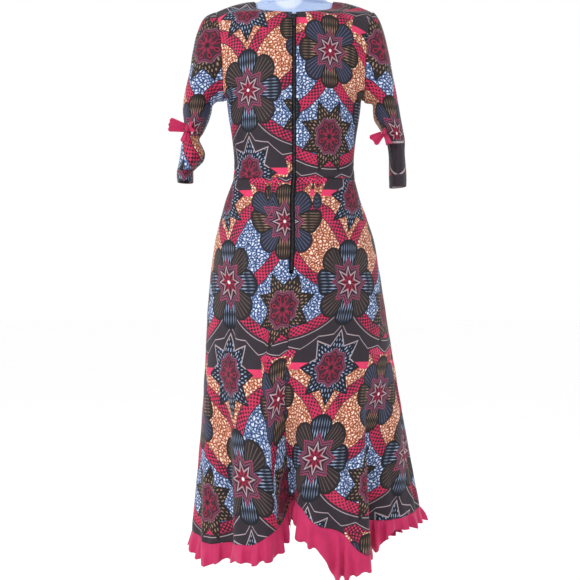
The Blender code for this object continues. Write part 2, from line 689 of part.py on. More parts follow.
def tube_wall(name, grid, finish, collection):
    """A wall inside a closed tube of rings."""
    middles = grid.mean(axis=1)
    rows, columns = grid.shape[:2]
    thing = new_object(name, grid.reshape(-1, 3), grid_faces(rows, columns, True),
                       finish, collection)
    score = 0.0
    for face in thing.data.polygons:
        ring = face.vertices[0] // columns
        middle = (middles[ring] + middles[min(ring + 1, rows - 1)]) / 2
        score += float(np.dot(face.normal, np.array(face.center) - middle)) * face.area
    if score < 0:
        thing.data.flip_normals()
    wall = thing.modifiers.new("wall", "SOLIDIFY")
    wall.thickness = CLOTH
    wall.offset = -1.0
    thing.data.shade_smooth()
    return thing


def build_bows(collection):
    for side, knot, wings in (
        ("left", LEFT_KNOT, LEFT_WINGS),
        ("right", RIGHT_KNOT, RIGHT_WINGS),
    ):
        bpy.ops.mesh.primitive_uv_sphere_add(segments=12, ring_count=8, location=knot)
        thing = bpy.context.object
        thing.name = f"bow_{side}_knot"
        thing.scale = KNOT_RADII
        bpy.ops.object.transform_apply(location=False, rotation=False, scale=True)
        thing.data.materials.append(finish_material("pink_cotton"))
        move_to(collection, thing)
        for wing in wings:
            build_wing(f"bow_{side}_{wing.name}", knot, wing, collection)


def unit(vector):
    vector = np.asarray(vector, float)
    return vector / np.linalg.norm(vector)


def build_wing(name, knot, wing, collection):
    """A fan of cloth from a gathered root to a free edge, with soft pleats."""
    along, across = unit(wing.along), unit(wing.across)
    across = unit(across - along * np.dot(across, along))
    out = np.cross(along, across)
    out = out if out[1] < 0 else -out
    start = np.linalg.norm(np.array(KNOT_RADII) * along) + WING_CLOTH / 2 - WING_TUCK
    s = np.linspace(0, 1, 6)[:, None]
    w = np.linspace(-1, 1, 11)[None, :]
    width = wing.root_width + (wing.end_width - wing.root_width) * s**0.8
    ripple = 0.0035 * np.cos(w * math.pi * wing.pleats) * (0.1 + 0.9 * s)
    puff = 0.006 * np.sin(s * math.pi * 0.7) * (1 - w * w * 0.6)
    length = start + wing.length * s * (1 - 0.10 * w * w)
    points = (
        np.array(knot)
        + length[..., None] * along
        + (width * w / 2)[..., None] * across
        + (ripple + puff)[..., None] * out
    )
    cloth_wall(name, points, "pink_cotton", collection, lambda centre: Vector(out),
               thick=WING_CLOTH)


# The zip


def back_surface(x, height):
    """Y of the cloth's outside close to the centre of the back."""
    rows = BACK_ROWS[: NECK_LOW + 1]
    level = np.interp(height, column(rows, "z0"), np.arange(NECK_LOW + 1))
    side, edge, middle, bend = (
        curve_through(np.arange(NECK_LOW + 1), column(rows, name), level)
        for name in ("x1", "y1", "y0", "bend")
    )
    bend = np.radians(bend)
    turn = np.arcsin(np.clip(x / side, -1, 1) * np.sin(bend))
    bodice = middle + (edge - middle) * (1 - np.cos(turn)) / (1 - np.cos(bend))
    heights = column(SKIRT_SECTIONS, "height")
    left, right, back = (
        curve_through(heights, column(SKIRT_SECTIONS, name), height)
        for name in ("left", "right", "back")
    )
    share = (x - (left + right) / 2) / ((right - left) / 2)
    return np.where(height > WAIST_Z, bodice, -back * np.sqrt(1 - share**2))


def zip_centre(height):
    """X of the zip's middle: the centre back seam drifts to the left below the waist."""
    skirt = skirt_point(seam_angle(height), height)[..., 0]
    return np.where(height > WAIST_Z, 0.0, skirt)


def zip_strip(name, heights, low_x, high_x, low_out, high_out, finish, collection):
    """A strip along the zip between two offsets outward from the cloth's outside."""
    heights = np.asarray(heights, float)
    rings = []
    for x, out in ((low_x, low_out), (high_x, low_out), (high_x, high_out), (low_x, high_out)):
        at = zip_centre(heights) + x
        y = back_surface(at, heights)
        slope = np.gradient(y, heights)
        lean = np.hypot(1, slope)
        rings.append(np.stack([at, y - out / lean, heights + out * slope / lean], axis=1))
    return ring_solid(name, np.stack(rings, axis=1), finish, collection)


def build_zip(collection):
    top = 1.4385
    heights = np.concatenate([
        np.linspace(ZIP_END_Z + 0.004, WAIST_Z - 0.003, 7),
        np.linspace(WAIST_Z + 0.003, top - 0.016, 12),
    ])
    tape_top = np.append(heights, top)
    inner = -(CLOTH + 0.0013)
    zip_strip("zip_tape_left", tape_top, -0.0130, -0.0002, inner - 0.001, inner,
              "zip_tape", collection)
    zip_strip("zip_tape_right", tape_top, 0.0002, 0.0130, inner - 0.001, inner,
              "zip_tape", collection)
    zip_strip("zip_chain", heights, -0.0028, 0.0028, inner + 0.0004, 0.0004,
              "zip_tape", collection)
    build_slider(top - 0.0155, top - 0.0030, collection)


def build_slider(low, high, collection):
    """The slider with its bridge, and the pull tab that hangs from the bridge."""
    heights = np.array([low, high])
    line = np.stack([0 * heights, back_surface(0 * heights, heights), heights], axis=1)
    up = unit(line[1] - line[0])
    side = np.array([1.0, 0.0, 0.0])
    out = unit(np.cross(side, up))
    out = out if out[1] < 0 else -out
    middle = line.mean(axis=0)
    place = np.stack([side, out, up], axis=1)
    length = float(np.linalg.norm(line[1] - line[0]))

    def local(points):
        return middle + np.asarray(points, float) @ place.T

    face, half = 0.0030, length / 2
    plate = prism("zip_slider", local, (
        (-0.0014, -half), (face, -half), (face, half), (-0.0014, half),
    ), 0.0044, collection)
    bridge = prism("bridge", local, (
        (face - 0.0005, -0.0042), (face + 0.0021, -0.0042), (face + 0.0028, -0.0036),
        (face + 0.0028, 0.0036), (face + 0.0021, 0.0042), (face - 0.0005, 0.0042),
        (face - 0.0005, 0.0030), (face + 0.0018, 0.0030),
        (face + 0.0018, -0.0030), (face - 0.0005, -0.0030),
    ), 0.0010, collection)
    join = plate.modifiers.new("join", "BOOLEAN")
    join.operation = "UNION"
    join.solver = "EXACT"
    join.object = bridge
    bpy.context.view_layer.objects.active = plate
    bpy.ops.object.modifier_apply(modifier=join.name)
    bpy.data.objects.remove(bridge)
    pin = face + 0.0009
    outline = ((-0.0020, 0.0004), (0.0020, 0.0004), (0.0026, -0.0002), (0.0026, -0.0062),
               (0.0030, -0.0240), (0.0018, -0.0262), (-0.0018, -0.0262),
               (-0.0030, -0.0240), (-0.0026, -0.0062), (-0.0026, -0.0002))
    hole = ((-0.0010, -0.0004), (0.0010, -0.0004), (0.0014, -0.0008), (0.0014, -0.0046),
            (0.0012, -0.0052), (0.0008, -0.0055), (-0.0008, -0.0055),
            (-0.0012, -0.0052), (-0.0014, -0.0046), (-0.0014, -0.0008))
    rings = [
        [(x, pin + far, z) for x, z in loop]
        for loop, far in ((outline, -0.0004), (outline, 0.0004), (hole, 0.0004),
                          (hole, -0.0004), (outline, -0.0004))
    ]
    points = local(np.array(rings[:4]).reshape(-1, 3))
    count = len(outline)
    faces = [
        tuple((index % (4 * count)) for index in face)
        for face in grid_faces(5, count, closed=True)
    ]
    pull = new_object("zip_pull", points, faces, "zip_metal", collection)
    fix_normals(pull)


def prism(name, local, profile, half_width, collection):
    """A profile of (out, up) points in the zip's own frame, pushed out sideways."""
    rings = np.array([
        [(x, out, up) for out, up in profile] for x in (-half_width, half_width)
    ])
    points = local(rings.reshape(-1, 3)).reshape(rings.shape)
    return ring_solid(name, points, "zip_metal", collection)


# The dress form and its stand


def build_form(collection):
    turn = np.arange(TORSO_SIDES) / TORSO_SIDES * 2 * np.pi
    rings = []
    for row in FORM_SECTIONS:
        cos, sin = np.cos(turn), np.sin(turn)
        x = row.width * np.sign(cos) * np.abs(cos) ** (2 / row.power)
        depth = np.where(sin < 0, row.back, row.front)
        y = SHOULDER_Y + depth * np.sign(sin) * np.abs(sin) ** (2 / row.power)
        rings.append(np.stack([x, y, np.full(TORSO_SIDES, row.height)], axis=1))
    torso = ring_solid("form_torso", np.array(rings), "form_plastic", collection)
    torso.data.shade_smooth()
    low = FORM_SECTIONS[0].height - 0.0003
    build_turned("form_pole", POLE_RADIUS, BASE_HEIGHT + 0.0003, low, "stand_acrylic", collection)
    build_turned("form_base", BASE_RADIUS, 0.0, BASE_HEIGHT, "stand_steel", collection)


def build_turned(name, radius, low, high, finish, collection):
    bpy.ops.mesh.primitive_cylinder_add(
        vertices=48 if radius > 0.1 else 20, radius=radius, depth=high - low,
        location=(0, 0, (low + high) / 2))
    thing = bpy.context.object
    thing.name = name
    thing.data.materials.append(finish_material(finish))
    move_to(collection, thing)


def main():
    for thing in list(bpy.data.objects):
        bpy.data.objects.remove(thing)
    collection = bpy.data.collections.new("maxi_dress")
    bpy.context.scene.collection.children.link(collection)
    build_skirt(collection)
    build_ruffle(collection)
    build_bodice(collection)
    build_sleeves(collection)
    build_bows(collection)
    build_zip(collection)
    build_form(collection)


main()
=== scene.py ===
import math
from functools import partial

import bmesh
import bpy
import numpy as np
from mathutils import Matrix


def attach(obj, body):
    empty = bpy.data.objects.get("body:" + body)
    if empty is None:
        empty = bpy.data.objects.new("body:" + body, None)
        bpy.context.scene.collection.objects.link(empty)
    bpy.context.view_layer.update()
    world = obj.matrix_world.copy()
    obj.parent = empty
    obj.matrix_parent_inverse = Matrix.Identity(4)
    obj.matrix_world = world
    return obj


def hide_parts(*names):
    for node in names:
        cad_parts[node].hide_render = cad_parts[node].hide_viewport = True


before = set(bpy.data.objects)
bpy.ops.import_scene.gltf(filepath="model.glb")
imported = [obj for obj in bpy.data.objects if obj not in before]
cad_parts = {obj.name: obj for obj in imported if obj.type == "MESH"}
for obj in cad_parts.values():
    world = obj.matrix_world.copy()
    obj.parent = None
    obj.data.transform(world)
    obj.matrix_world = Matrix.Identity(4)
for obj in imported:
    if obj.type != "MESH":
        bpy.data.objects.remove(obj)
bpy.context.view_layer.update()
print("frame loaded:", len(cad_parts), "nodes")


# Shared helpers

def table(names, rows):
    # named columns of a short table
    return dict(zip(names.split(), np.array(rows, float).T))


def smoothStep(value):
    # 3v^2 - 2v^3, held between 0 and 1
    value = np.clip(value, 0, 1)
    return value * value * (3 - 2 * value)


def curveThrough(knots, values, at, corner=None):
    # a cubic through the knots, its slope at each the mean of its two sides; it may turn at one knot
    knots, values, at = (np.asarray(a, float) for a in (knots, values, at))
    if knots[0] > knots[-1]:
        knots, values = knots[::-1], values[::-1]
    if corner is not None:
        low, high = knots <= corner, knots >= corner
        return np.where(at <= corner, curveThrough(knots[low], values[low], at),
                        curveThrough(knots[high], values[high], at))
    at = np.clip(at, knots[0], knots[-1])
    gaps = np.diff(knots)
    steep = np.diff(values) / gaps
    slopes = np.concatenate([steep[:1], (steep[:-1] + steep[1:]) / 2, steep[-1:]])
    i = np.clip(np.searchsorted(knots, at) - 1, 0, len(gaps) - 1)
    t = (at - knots[i]) / gaps[i]
    return (values[i] * (1 + 2 * t) * (1 - t) ** 2 + values[i + 1] * t * t * (3 - 2 * t)
            + gaps[i] * t * (1 - t) * (slopes[i] * (1 - t) - slopes[i + 1] * t))


def unit(vectors):
    vectors = np.asarray(vectors, float)
    return vectors / np.maximum(np.linalg.norm(vectors, axis=-1, keepdims=True), 1e-9)


def joined(*parts):
    # arrays side by side along a new last axis, each stretched to the shape of all
    return np.stack(np.broadcast_arrays(*parts), axis=-1)


def along(points, axis):
    # distance run from the first point along one axis of a grid
    step = np.linalg.norm(np.diff(points, axis=axis), axis=-1)
    start = np.zeros_like(np.take(step, [0], axis=axis))
    return np.cumsum(np.concatenate([start, step], axis=axis), axis=axis)


def closeRing(points):
    # the first column again after the last
    return np.concatenate([points, points[:, :1]], axis=1)


def readLine(knots, values, at):
    # straight lines through the knots
    return np.interp(at, knots, values)


def columnsAt(curve, knots, rows, at):
    # each column of rows read at new places, on a curve or on straight lines
    flat = [curve(knots, column, at) for column in rows.reshape(len(rows), -1).T]
    return np.stack(flat, axis=-1).reshape(len(at), *rows.shape[1:])


def fromMiddle(points):
    # away from the middle of each row
    return points - points.mean(axis=1, keepdims=True)


def fromAxis(points):
    # away from the upright axis
    return points * (1, 1, 0)


def gridNormals(points, away, closed=False):
    # cross product of the grid's two directions, turned to the side that away points to
    down = np.gradient(points, axis=0)
    if closed:
        across = (np.roll(points, -1, axis=1) - np.roll(points, 1, axis=1)) / 2
    else:
        across = np.gradient(points, axis=1)
    normals = unit(np.cross(down, across))
    return normals if (normals * away).sum() > 0 else -normals


def gridArea(points, closed=False):
    # sum of the quads' areas, from their diagonals
    points = closeRing(points) if closed else points
    one = points[1:, 1:] - points[:-1, :-1]
    two = points[1:, :-1] - points[:-1, 1:]
    return float(np.linalg.norm(np.cross(one, two), axis=-1).sum() / 2)


def addObject(name, data):
    thing = bpy.data.objects.new(name, data)
    bpy.context.scene.collection.objects.link(thing)
    return thing


def gridMesh(name, points, away, material, uv=None, closed=False):
    # quads between the points of a grid, facing the way away says; uv has one more column if closed
    rows, columns = points.shape[:2]
    index = np.arange(rows * columns).reshape(rows, columns)
    index = closeRing(index) if closed else index
    last = index.shape[1]
    corner = np.arange(rows * last).reshape(rows, last)
    quads, corners = (
        np.stack([a[:-1, :-1], a[1:, :-1], a[1:, 1:], a[:-1, 1:]], axis=-1).reshape(-1, 4)
        for a in (index, corner))
    flat = points.reshape(-1, 3)
    facing = np.cross(flat[quads[:, 2]] - flat[quads[:, 0]], flat[quads[:, 3]] - flat[quads[:, 1]])
    middle = np.broadcast_to(away, points.shape).reshape(-1, 3)[quads[:, 0]]
    if (facing * middle).sum() < 0:
        quads, corners = quads[:, ::-1], corners[:, ::-1]
    mesh = bpy.data.meshes.new(name)
    mesh.vertices.add(len(flat))
    mesh.vertices.foreach_set("co", flat.ravel())
    mesh.loops.add(quads.size)
    mesh.loops.foreach_set("vertex_index", quads.ravel())
    mesh.polygons.add(len(quads))
    mesh.polygons.foreach_set("loop_start", np.arange(0, quads.size, 4))
    if uv is not None:
        layer = mesh.uv_layers.new(name="cloth")
        layer.data.foreach_set("uv", uv.reshape(-1, 2)[corners.ravel()].ravel())
    mesh.update(calc_edges=True)
    mesh.validate()
    mesh.shade_smooth()
    mesh.materials.append(material)
    return addObject(name, mesh)


def closePoles(piece):
    # merges the points that meet at a pole
    work = bmesh.new()
    work.from_mesh(piece.data)
    bmesh.ops.remove_doubles(work, verts=work.verts, dist=1e-6)
    work.to_mesh(piece.data)
    work.free()


def settle(piece, thickness=0, node=None, body="dress"):
    # rides on its body and stands for its CAD node, whose name is the piece's in small words; the
    # cloth's thickness lies inside the surface, with a closed rim, and a piece without one has poles
    if thickness:
        wall = piece.modifiers.new("cloth", "SOLIDIFY")
        wall.thickness, wall.offset = thickness, -1
    else:
        closePoles(piece)
    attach(piece, body)
    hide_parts(node or "".join("_" + c.lower() if c.isupper() else c for c in piece.name))
    return piece


def sway(points, wavelength, depth, seed):
    # soft unevenness: three crossing sine waves over the surface
    rng = np.random.default_rng(seed)
    total = np.zeros(points.shape[:-1])
    for _ in range(3):
        way = unit(rng.normal(size=3)) * 2 * np.pi / wavelength
        total += np.sin(points @ way + rng.uniform(0, 6.28))
    return depth * total / 3


def creases(points, marks):
    # depth of soft pressed lines: a bell across each line and another along it, in the XZ view
    x, y, z = np.moveaxis(points, -1, 0)
    depth = 0 * x
    for markX, markZ, turn, length, width, deep, side in zip(*marks.values()):
        cos, sin = math.cos(math.radians(turn)), math.sin(math.radians(turn))
        run = (x - markX) * cos + (z - markZ) * sin
        off = (z - markZ) * cos - (x - markX) * sin
        depth = depth + (y * side > 0) * deep * np.exp(-(off / width) ** 2 - (run / length) ** 2)
    return depth


# Colours and nodes

def colour(code):
    # sRGB hex to linear red, green, blue and alpha
    parts = [int(code[i:i + 2], 16) / 255 for i in (1, 3, 5)]
    return (*(c / 12.92 if c <= 0.04045 else ((c + 0.055) / 1.055) ** 2.4 for c in parts), 1)


def add(tree, kind, *inputs, out=0, **settings):
    # one node: its kind and operation, its inputs as values or links, and the output to go on from;
    # an operation alone is a Math node's
    kind, _, operation = ("Math " + kind if kind.isupper() else kind).partition(" ")
    node = tree.nodes.new("ShaderNode" + kind)
    if operation:
        node.operation = operation
    for name, value in settings.items():
        setattr(node, name, value)
    named = inputs and isinstance(inputs[0], dict)
    for key, value in inputs[0].items() if named else enumerate(inputs):
        if isinstance(value, bpy.types.NodeSocket):
            tree.links.new(value, node.inputs[key])
        else:
            node.inputs[key].default_value = value
    return node.outputs[out]


def newMaterial(name, **sockets):
    # a material with its same-everywhere values on the shader's sockets, and what adds its nodes
    material = bpy.data.materials.new(name)
    material.use_nodes = True
    shader = material.node_tree.nodes["Principled BSDF"]
    for key, value in sockets.items():
        shader.inputs[key.replace("_", " ")].default_value = value
    return material, partial(add, material.node_tree), shader


def finish(material, shader, tint, relief=None, roughness=None):
    # colour, then relief as strength, depth in metres and height, then roughness
    links = material.node_tree.links
    links.new(tint, shader.inputs["Base Color"])
    if relief:
        bump = dict(zip(("Strength", "Distance", "Height"), relief))
        links.new(add(material.node_tree, "Bump", bump), shader.inputs["Normal"])
    if roughness:
        links.new(roughness, shader.inputs["Roughness"])
    return material


def makeSpeckled(name, noise, tints, share, relief, roughness=None, **sockets):
    # a plain material: one noise mixes its two colours and gives its relief and its roughness
    material, put, shader = newMaterial(name, **sockets)
    place = put("TexCoord", out="Object")
    height = put("TexNoise", {"Vector": place, "Scale": noise[0], "Detail": noise[1]})
    mask = put("MapRange", height, *share) if share else height
    tint = paintOver(put, colour(tints[0]), [(mask, colour(tints[1]))])
    rough = put("MapRange", height, 0.2, 0.8, *roughness) if roughness else None
    return finish(material, shader, tint, (*relief, height), rough)


# The wax print: sizes in metres of flat cloth
printed = {
    "repeat": (0.306, 0.405), "ring": 0.153, "band": 0.0115,
    "crescent": (0.03, 0.226), "lowerBand": 0.024,
    "ringOne": (0, 0), "flowerOne": (0, 0.11), "starOne": (0, -0.094),
    "ringTwo": (0.153, 0.104), "flowerTwo": (0.153, -0.032), "starTwo": (0.153, -0.23),
    "flowerSize": 0.074, "starSize": 0.0735, "flowerTwoSize": 0.89, "tall": 0.82, "crackle": 0.0074,
    "starTwoGround": 0.098, "starTwoFoot": 0.012, "footStrip": 0.008, "outlineHalf": 0.0009,
    "aubergine": "#2b222c", "outline": "#a9999f", "black": "#120f13",
    "pink": "#c22a53", "plainPink": "#dc3563", "scale": "#3c1228",
    "maroon": "#3f1a2c", "rose": "#8d3a57", "mauve": "#7c4a62", "deepRed": "#260c16",
    "crimson": "#8e1b3c", "white": "#e6dde2",
    "blueVein": "#1f3157", "blueMid": "#5a74a6", "blueCell": "#dde5f3",
    "rustVein": "#7e3a22", "rustMid": "#c77a58", "rustCell": "#fbdfce",
    "tan": "#997c66", "brown": "#211817", "paleBlue": "#93a6c6", "navy": "#111523",
    "greyBlue": "#525976", "slate": "#222334", "umber": "#5f4e4a", "umberDark": "#261e21",
}


def newGroup(name, inputs):
    # a node group for a motif: its own inputs, what adds its nodes, and how its results are joined up
    tree = bpy.data.node_groups.new(name, "ShaderNodeTree")
    for way, sockets in (("INPUT", inputs), ("OUTPUT", {"colour": "Color", "mask": "Float"})):
        for word, kind in sockets.items():
            tree.interface.new_socket(word, in_out=way, socket_type="NodeSocket" + kind)
    given, results = tree.nodes.new("NodeGroupInput").outputs, tree.nodes.new("NodeGroupOutput").inputs

    def close(**found):
        for word, value in found.items():
            tree.links.new(value, results[word])
        return tree

    return partial(add, tree), given, close


def paintOver(put, tint, layers):
    # lays colours over one another, each where its mask is 1; a word names a colour of the print
    for mask, above in layers:
        above = colour(printed[above]) if isinstance(above, str) else above
        tint = put("Mix", {0: mask, 6: tint, 7: above}, out=2, data_type="RGBA")
    return tint


def petalFrame(put, local, turn):
    # distance and angle from a motif's middle, and the angle from the nearest of eight axes
    x = put("SeparateXYZ", local)
    y = x.node.outputs[1]
    radius = put("VectorMath LENGTH", local, out="Value")
    angle = put("ADD", put("ARCTAN2", y, x), turn)
    near = put("WRAP", angle, math.pi / 8, -math.pi / 8)
    aside = put("ABSOLUTE", near)
    lengthwise = put("MULTIPLY", radius, put("COSINE", near))
    crosswise = put("MULTIPLY", radius, put("SINE", near))
    return radius, angle, near, aside, lengthwise, crosswise


def starInsets(put, lengthwise, crosswise, stars):
    # how far a point lies outside each eight-pointed star, whose edges run straight from tip to notch
    across = put("ABSOLUTE", crosswise)
    insets = []
    for notch, tip in stars:
        side, back = notch * math.sin(math.pi / 8), tip - notch * math.cos(math.pi / 8)
        out = put("MULTIPLY", across, back / math.hypot(side, back))
        out = put("MULTIPLY_ADD", lengthwise, side / math.hypot(side, back), out)
        insets.append(put("SUBTRACT", out, tip * side / math.hypot(side, back)))
    return insets


def makeFlower():
    # a scalloped flower: eight petals, striped and lined in turn, round nested stars
    size = printed["flowerSize"]
    put, given, close = newGroup("waxFlower", {
        "local": "Vector", "stripe": "Color", "stripeGround": "Color",
        "line": "Color", "lineGround": "Color"})
    radius, angle, near, aside, lengthwise, crosswise = petalFrame(put, given["local"], 0)
    share = put("DIVIDE", aside, 0.405)
    bulge = put("SUBTRACT", 1, put("MULTIPLY", share, share))
    lobe = put("SQRT", put("MAXIMUM", bulge, 0))
    edge = put("MULTIPLY_ADD", lobe, size * 0.25, size * 0.75)
    mask = put("LESS_THAN", radius, edge)
    quarter = put("FRACT", put("MULTIPLY_ADD", angle, 2 / math.pi, 4.25))
    diagonal = put("GREATER_THAN", quarter, 0.5)
    # bold stripes run straight out, swelling and thinning; fine lines fan out
    lane = put("PINGPONG", crosswise, 0.0027)
    swell = put("MULTIPLY_ADD", put("SINE", put("MULTIPLY", lengthwise, 340)), 0.0005, 0.0007)
    tip = put("LESS_THAN", radius, put("SUBTRACT", edge, 0.0055))
    stripes = put("MULTIPLY", put("LESS_THAN", lane, swell), tip)
    ray = put("PINGPONG", near, 0.058)
    rays = put("MULTIPLY", put("LESS_THAN", ray, 0.013), tip)
    glow = put("MapRange", lengthwise, 0.036, 0.066, 0.95, 0.25)
    striped = paintOver(put, given["stripeGround"], [
        (put("MULTIPLY", stripes, glow), given["stripe"])])
    lined = paintOver(put, given["lineGround"], [(rays, given["line"])])
    outer, second, inner = starInsets(put, lengthwise, crosswise, (
        (0.028, 0.0415), (0.023, 0.035), (0.013, 0.0265)))
    blade = put("MULTIPLY_ADD", radius, -7, 0.19)
    tint = paintOver(put, striped, [
        (diagonal, lined),
        (put("GREATER_THAN", aside, 0.35), "black"),
        (put("GREATER_THAN", radius, put("SUBTRACT", edge, 0.0022)), "black"),
        (put("LESS_THAN", outer, 0), "maroon"),
        (put("COMPARE", outer, 0, 0.0012), "rose"),
        (put("COMPARE", second, 0, 0.0009), "mauve"),
        (put("LESS_THAN", inner, 0), "crimson"),
        (put("LESS_THAN", aside, blade), "deepRed"),
        (put("COMPARE", inner, 0, 0.001), "outline"),
        (put("LESS_THAN", radius, 0.0032), "white")])
    return close(colour=tint, mask=mask)


def makeStar():
    # an eight-pointed star: an outline, dashes along each point and a rosette in the middle
    size = printed["starSize"]
    put, given, close = newGroup("waxStar", {
        "local": "Vector", "turn": "Float", "dash": "Color", "ground": "Color", "edge": "Color"})
    radius, _, _, aside, lengthwise, crosswise = petalFrame(put, given["local"], given["turn"])
    whole, rosette, second = starInsets(put, lengthwise, crosswise, (
        (size * 0.62, size), (0.031, 0.0375), (0.0272, 0.0333)))
    waves = [put("SINE", put("MULTIPLY", value, scale))
             for value, scale in ((crosswise, 900), (lengthwise, 330))]
    # the dashes come and go, and leave the tips dark
    patchy = put("TexNoise", {"Vector": given["local"], "Scale": 95, "Detail": 1})
    limit = put("ADD", put("MapRange", patchy, 0.35, 0.65, 0.2, 0.8),
                put("MapRange", lengthwise, 0.045, 0.07, 0, 0.5))
    petals = []
    for at, wide, long in ((0.0205, 0.2, 0.0066), (0.0205, 0.1, 0.0036), (0.0095, 0.3, 0.0046)):
        a = put("POWER", put("DIVIDE", aside, wide), 2)
        b = put("POWER", put("ABSOLUTE", put("DIVIDE", put("SUBTRACT", radius, at), long)), 2)
        petals.append(put("LESS_THAN", put("ADD", a, b), 1))
    tint = paintOver(put, given["ground"], [
        (put("GREATER_THAN", put("MULTIPLY", *waves), limit), given["dash"]),
        (put("GREATER_THAN", whole, -0.0022), given["edge"]),
        (put("LESS_THAN", rosette, 0), "maroon"),
        (put("COMPARE", rosette, 0, 0.0011), "mauve"),
        (put("COMPARE", second, 0, 0.0008), "rose"),
        (petals[0], "crimson"), (petals[1], "deepRed"), (petals[2], "crimson"),
        (put("LESS_THAN", radius, 0.0034), "black")])
    return close(colour=tint, mask=put("LESS_THAN", whole, 0))


def makePrintedCotton():
    # Wax-printed plain-weave cotton: matt, a little starched, the print the same on both faces
    material, put, shader = newMaterial("waxPrintedCotton", Roughness=0.72, Sheen_Weight=0.06,
                                        Sheen_Roughness=0.5, Specular_IOR_Level=0.3)
    cloth = put("UVMap", uv_map="cloth")
    wide, high = printed["repeat"]
    half, low = (wide / 2, high / 2, 1), (-wide / 2, -high / 2, -1)
    # where each point lies from the nearest ring, star and flower
    centres = {}
    for word in ("ringOne", "ringTwo", "flowerOne", "starOne", "flowerTwo", "starTwo"):
        off = put("VectorMath SUBTRACT", cloth, (*printed[word], 0))
        centres[word] = put("VectorMath WRAP", off, half, low)

    # the crackle ground: pale cells between darker veins, bent and clouded by a slow noise
    bend = put("TexNoise", {"Vector": cloth, "Scale": 90, "Detail": 3}, out=1)
    bent = put("VectorMath MULTIPLY_ADD", bend, (0.012, 0.012, 0), cloth)
    cell = put("TexVoronoi", {"Vector": bent, "Scale": 1 / printed["crackle"]},
               feature="DISTANCE_TO_EDGE", voronoi_dimensions="2D")
    cloud = put("TexNoise", {"Vector": cloth, "Scale": 230, "Detail": 3, "Roughness": 0.65})
    wash = put("MULTIPLY_ADD", cloud, 1.1, -0.55)
    tone = put("ADD", put("MULTIPLY", cell, 1.6), wash)
    deep = put("MapRange", tone, 0.08, 0.3, 0, 1)
    light = put("MapRange", tone, 0.32, 0.6, 0, 1)
    grounds = [paintOver(put, colour(printed[family + "Vein"]), [
        (deep, family + "Mid"), (light, family + "Cell")]) for family in ("blue", "rust")]

    # ring one and ring two, and which side of them a point lies on
    one, two = centres["ringOne"], centres["ringTwo"]
    oneOut, twoOut = (put("VectorMath LENGTH", v, out="Value") for v in (one, two))
    inOne, inTwo = (put("LESS_THAN", v, printed["ring"]) for v in (oneOut, twoOut))
    # every other column is rust on both sides of its first flower
    column = put("FLOORED_MODULO", put("ADD", put("SeparateXYZ", cloth), -wide / 2), 2 * wide)
    twoLeft = put("MAXIMUM", put("LESS_THAN", put("SeparateXYZ", two), 0),
                  put("LESS_THAN", column, wide))
    notTwo = put("SUBTRACT", 1, put("MULTIPLY", inTwo, twoLeft))
    tint = paintOver(put, grounds[1], [(put("MULTIPLY", inOne, notTwo), grounds[0])])

    def scales(vector, out, middle):
        # rows of dark scales 5.5 mm apart round a band, thicker here and there
        x = put("SeparateXYZ", vector)
        around = put("MULTIPLY", put("ARCTAN2", x.node.outputs[1], x), middle)
        rows = [put("SINE", put("MULTIPLY", v, s))
                for v, s in ((around, 560), (put("SUBTRACT", out, middle), 640))]
        thick = put("TexNoise", {"Vector": cloth, "Scale": 14, "Detail": 1})
        limit = put("MULTIPLY_ADD", thick, -1.7, 0.88)
        return put("GREATER_THAN", put("MULTIPLY", *rows), limit)

    ring, band = printed["ring"], printed["band"]
    for vector, out in ((two, twoOut), (one, oneOut)):
        body = put("COMPARE", out, ring, band)
        tint = paintOver(put, tint, [
            (put("COMPARE", out, ring, band + 0.0018), "scale"), (body, "pink"),
            (put("MULTIPLY", body, scales(vector, out, ring)), "scale")])

    # the aubergine crescent under ring one, its outlines, and the band below it
    drop, reach = printed["crescent"]
    x = put("SeparateXYZ", one)
    sideways = put("ABSOLUTE", x)
    lowOut = put("VectorMath LENGTH", put("VectorMath SUBTRACT", one, (0, drop, 0)), out="Value")
    jagged = put("MULTIPLY_ADD", put("PINGPONG", x, 0.034), 0.42, lowOut)
    under = put("MULTIPLY", put("LESS_THAN", x.node.outputs[1], -0.045),
                put("GREATER_THAN", oneOut, ring + band + 0.0016))
    strip = put("MULTIPLY", under, put("LESS_THAN", lowOut, reach + printed["lowerBand"]))
    middle = put("MULTIPLY", strip, put("LESS_THAN", sideways, 0.085))
    # aubergine also fills the ground above each second star, on a strip of plain pink
    rise = put("SeparateXYZ", centres["starTwo"]).node.outputs[1]
    foot, strap = printed["starTwoFoot"], printed["footStrip"]
    above = put("GREATER_THAN", rise, foot)
    around = put("VectorMath LENGTH", centres["starTwo"], out="Value")
    close = put("LESS_THAN", around, printed["starTwoGround"])
    footed = put("COMPARE", rise, foot - strap, strap)
    dark = put("MAXIMUM", put("MULTIPLY", under, put("LESS_THAN", jagged, reach + 0.006)),
               put("MULTIPLY", above, close))
    tint = paintOver(put, tint, [
        (strip, "plainPink"),
        (put("MULTIPLY", middle, scales(one, lowOut, reach + 0.012)), "scale"),
        (put("MULTIPLY", footed, close), "plainPink"),
        (dark, "aubergine"),
        *((put("MULTIPLY", dark, put("COMPARE", value, at, printed["outlineHalf"])), "outline")
          for value, at in ((oneOut, ring + band + 0.006), (jagged, reach + 0.0015)))])

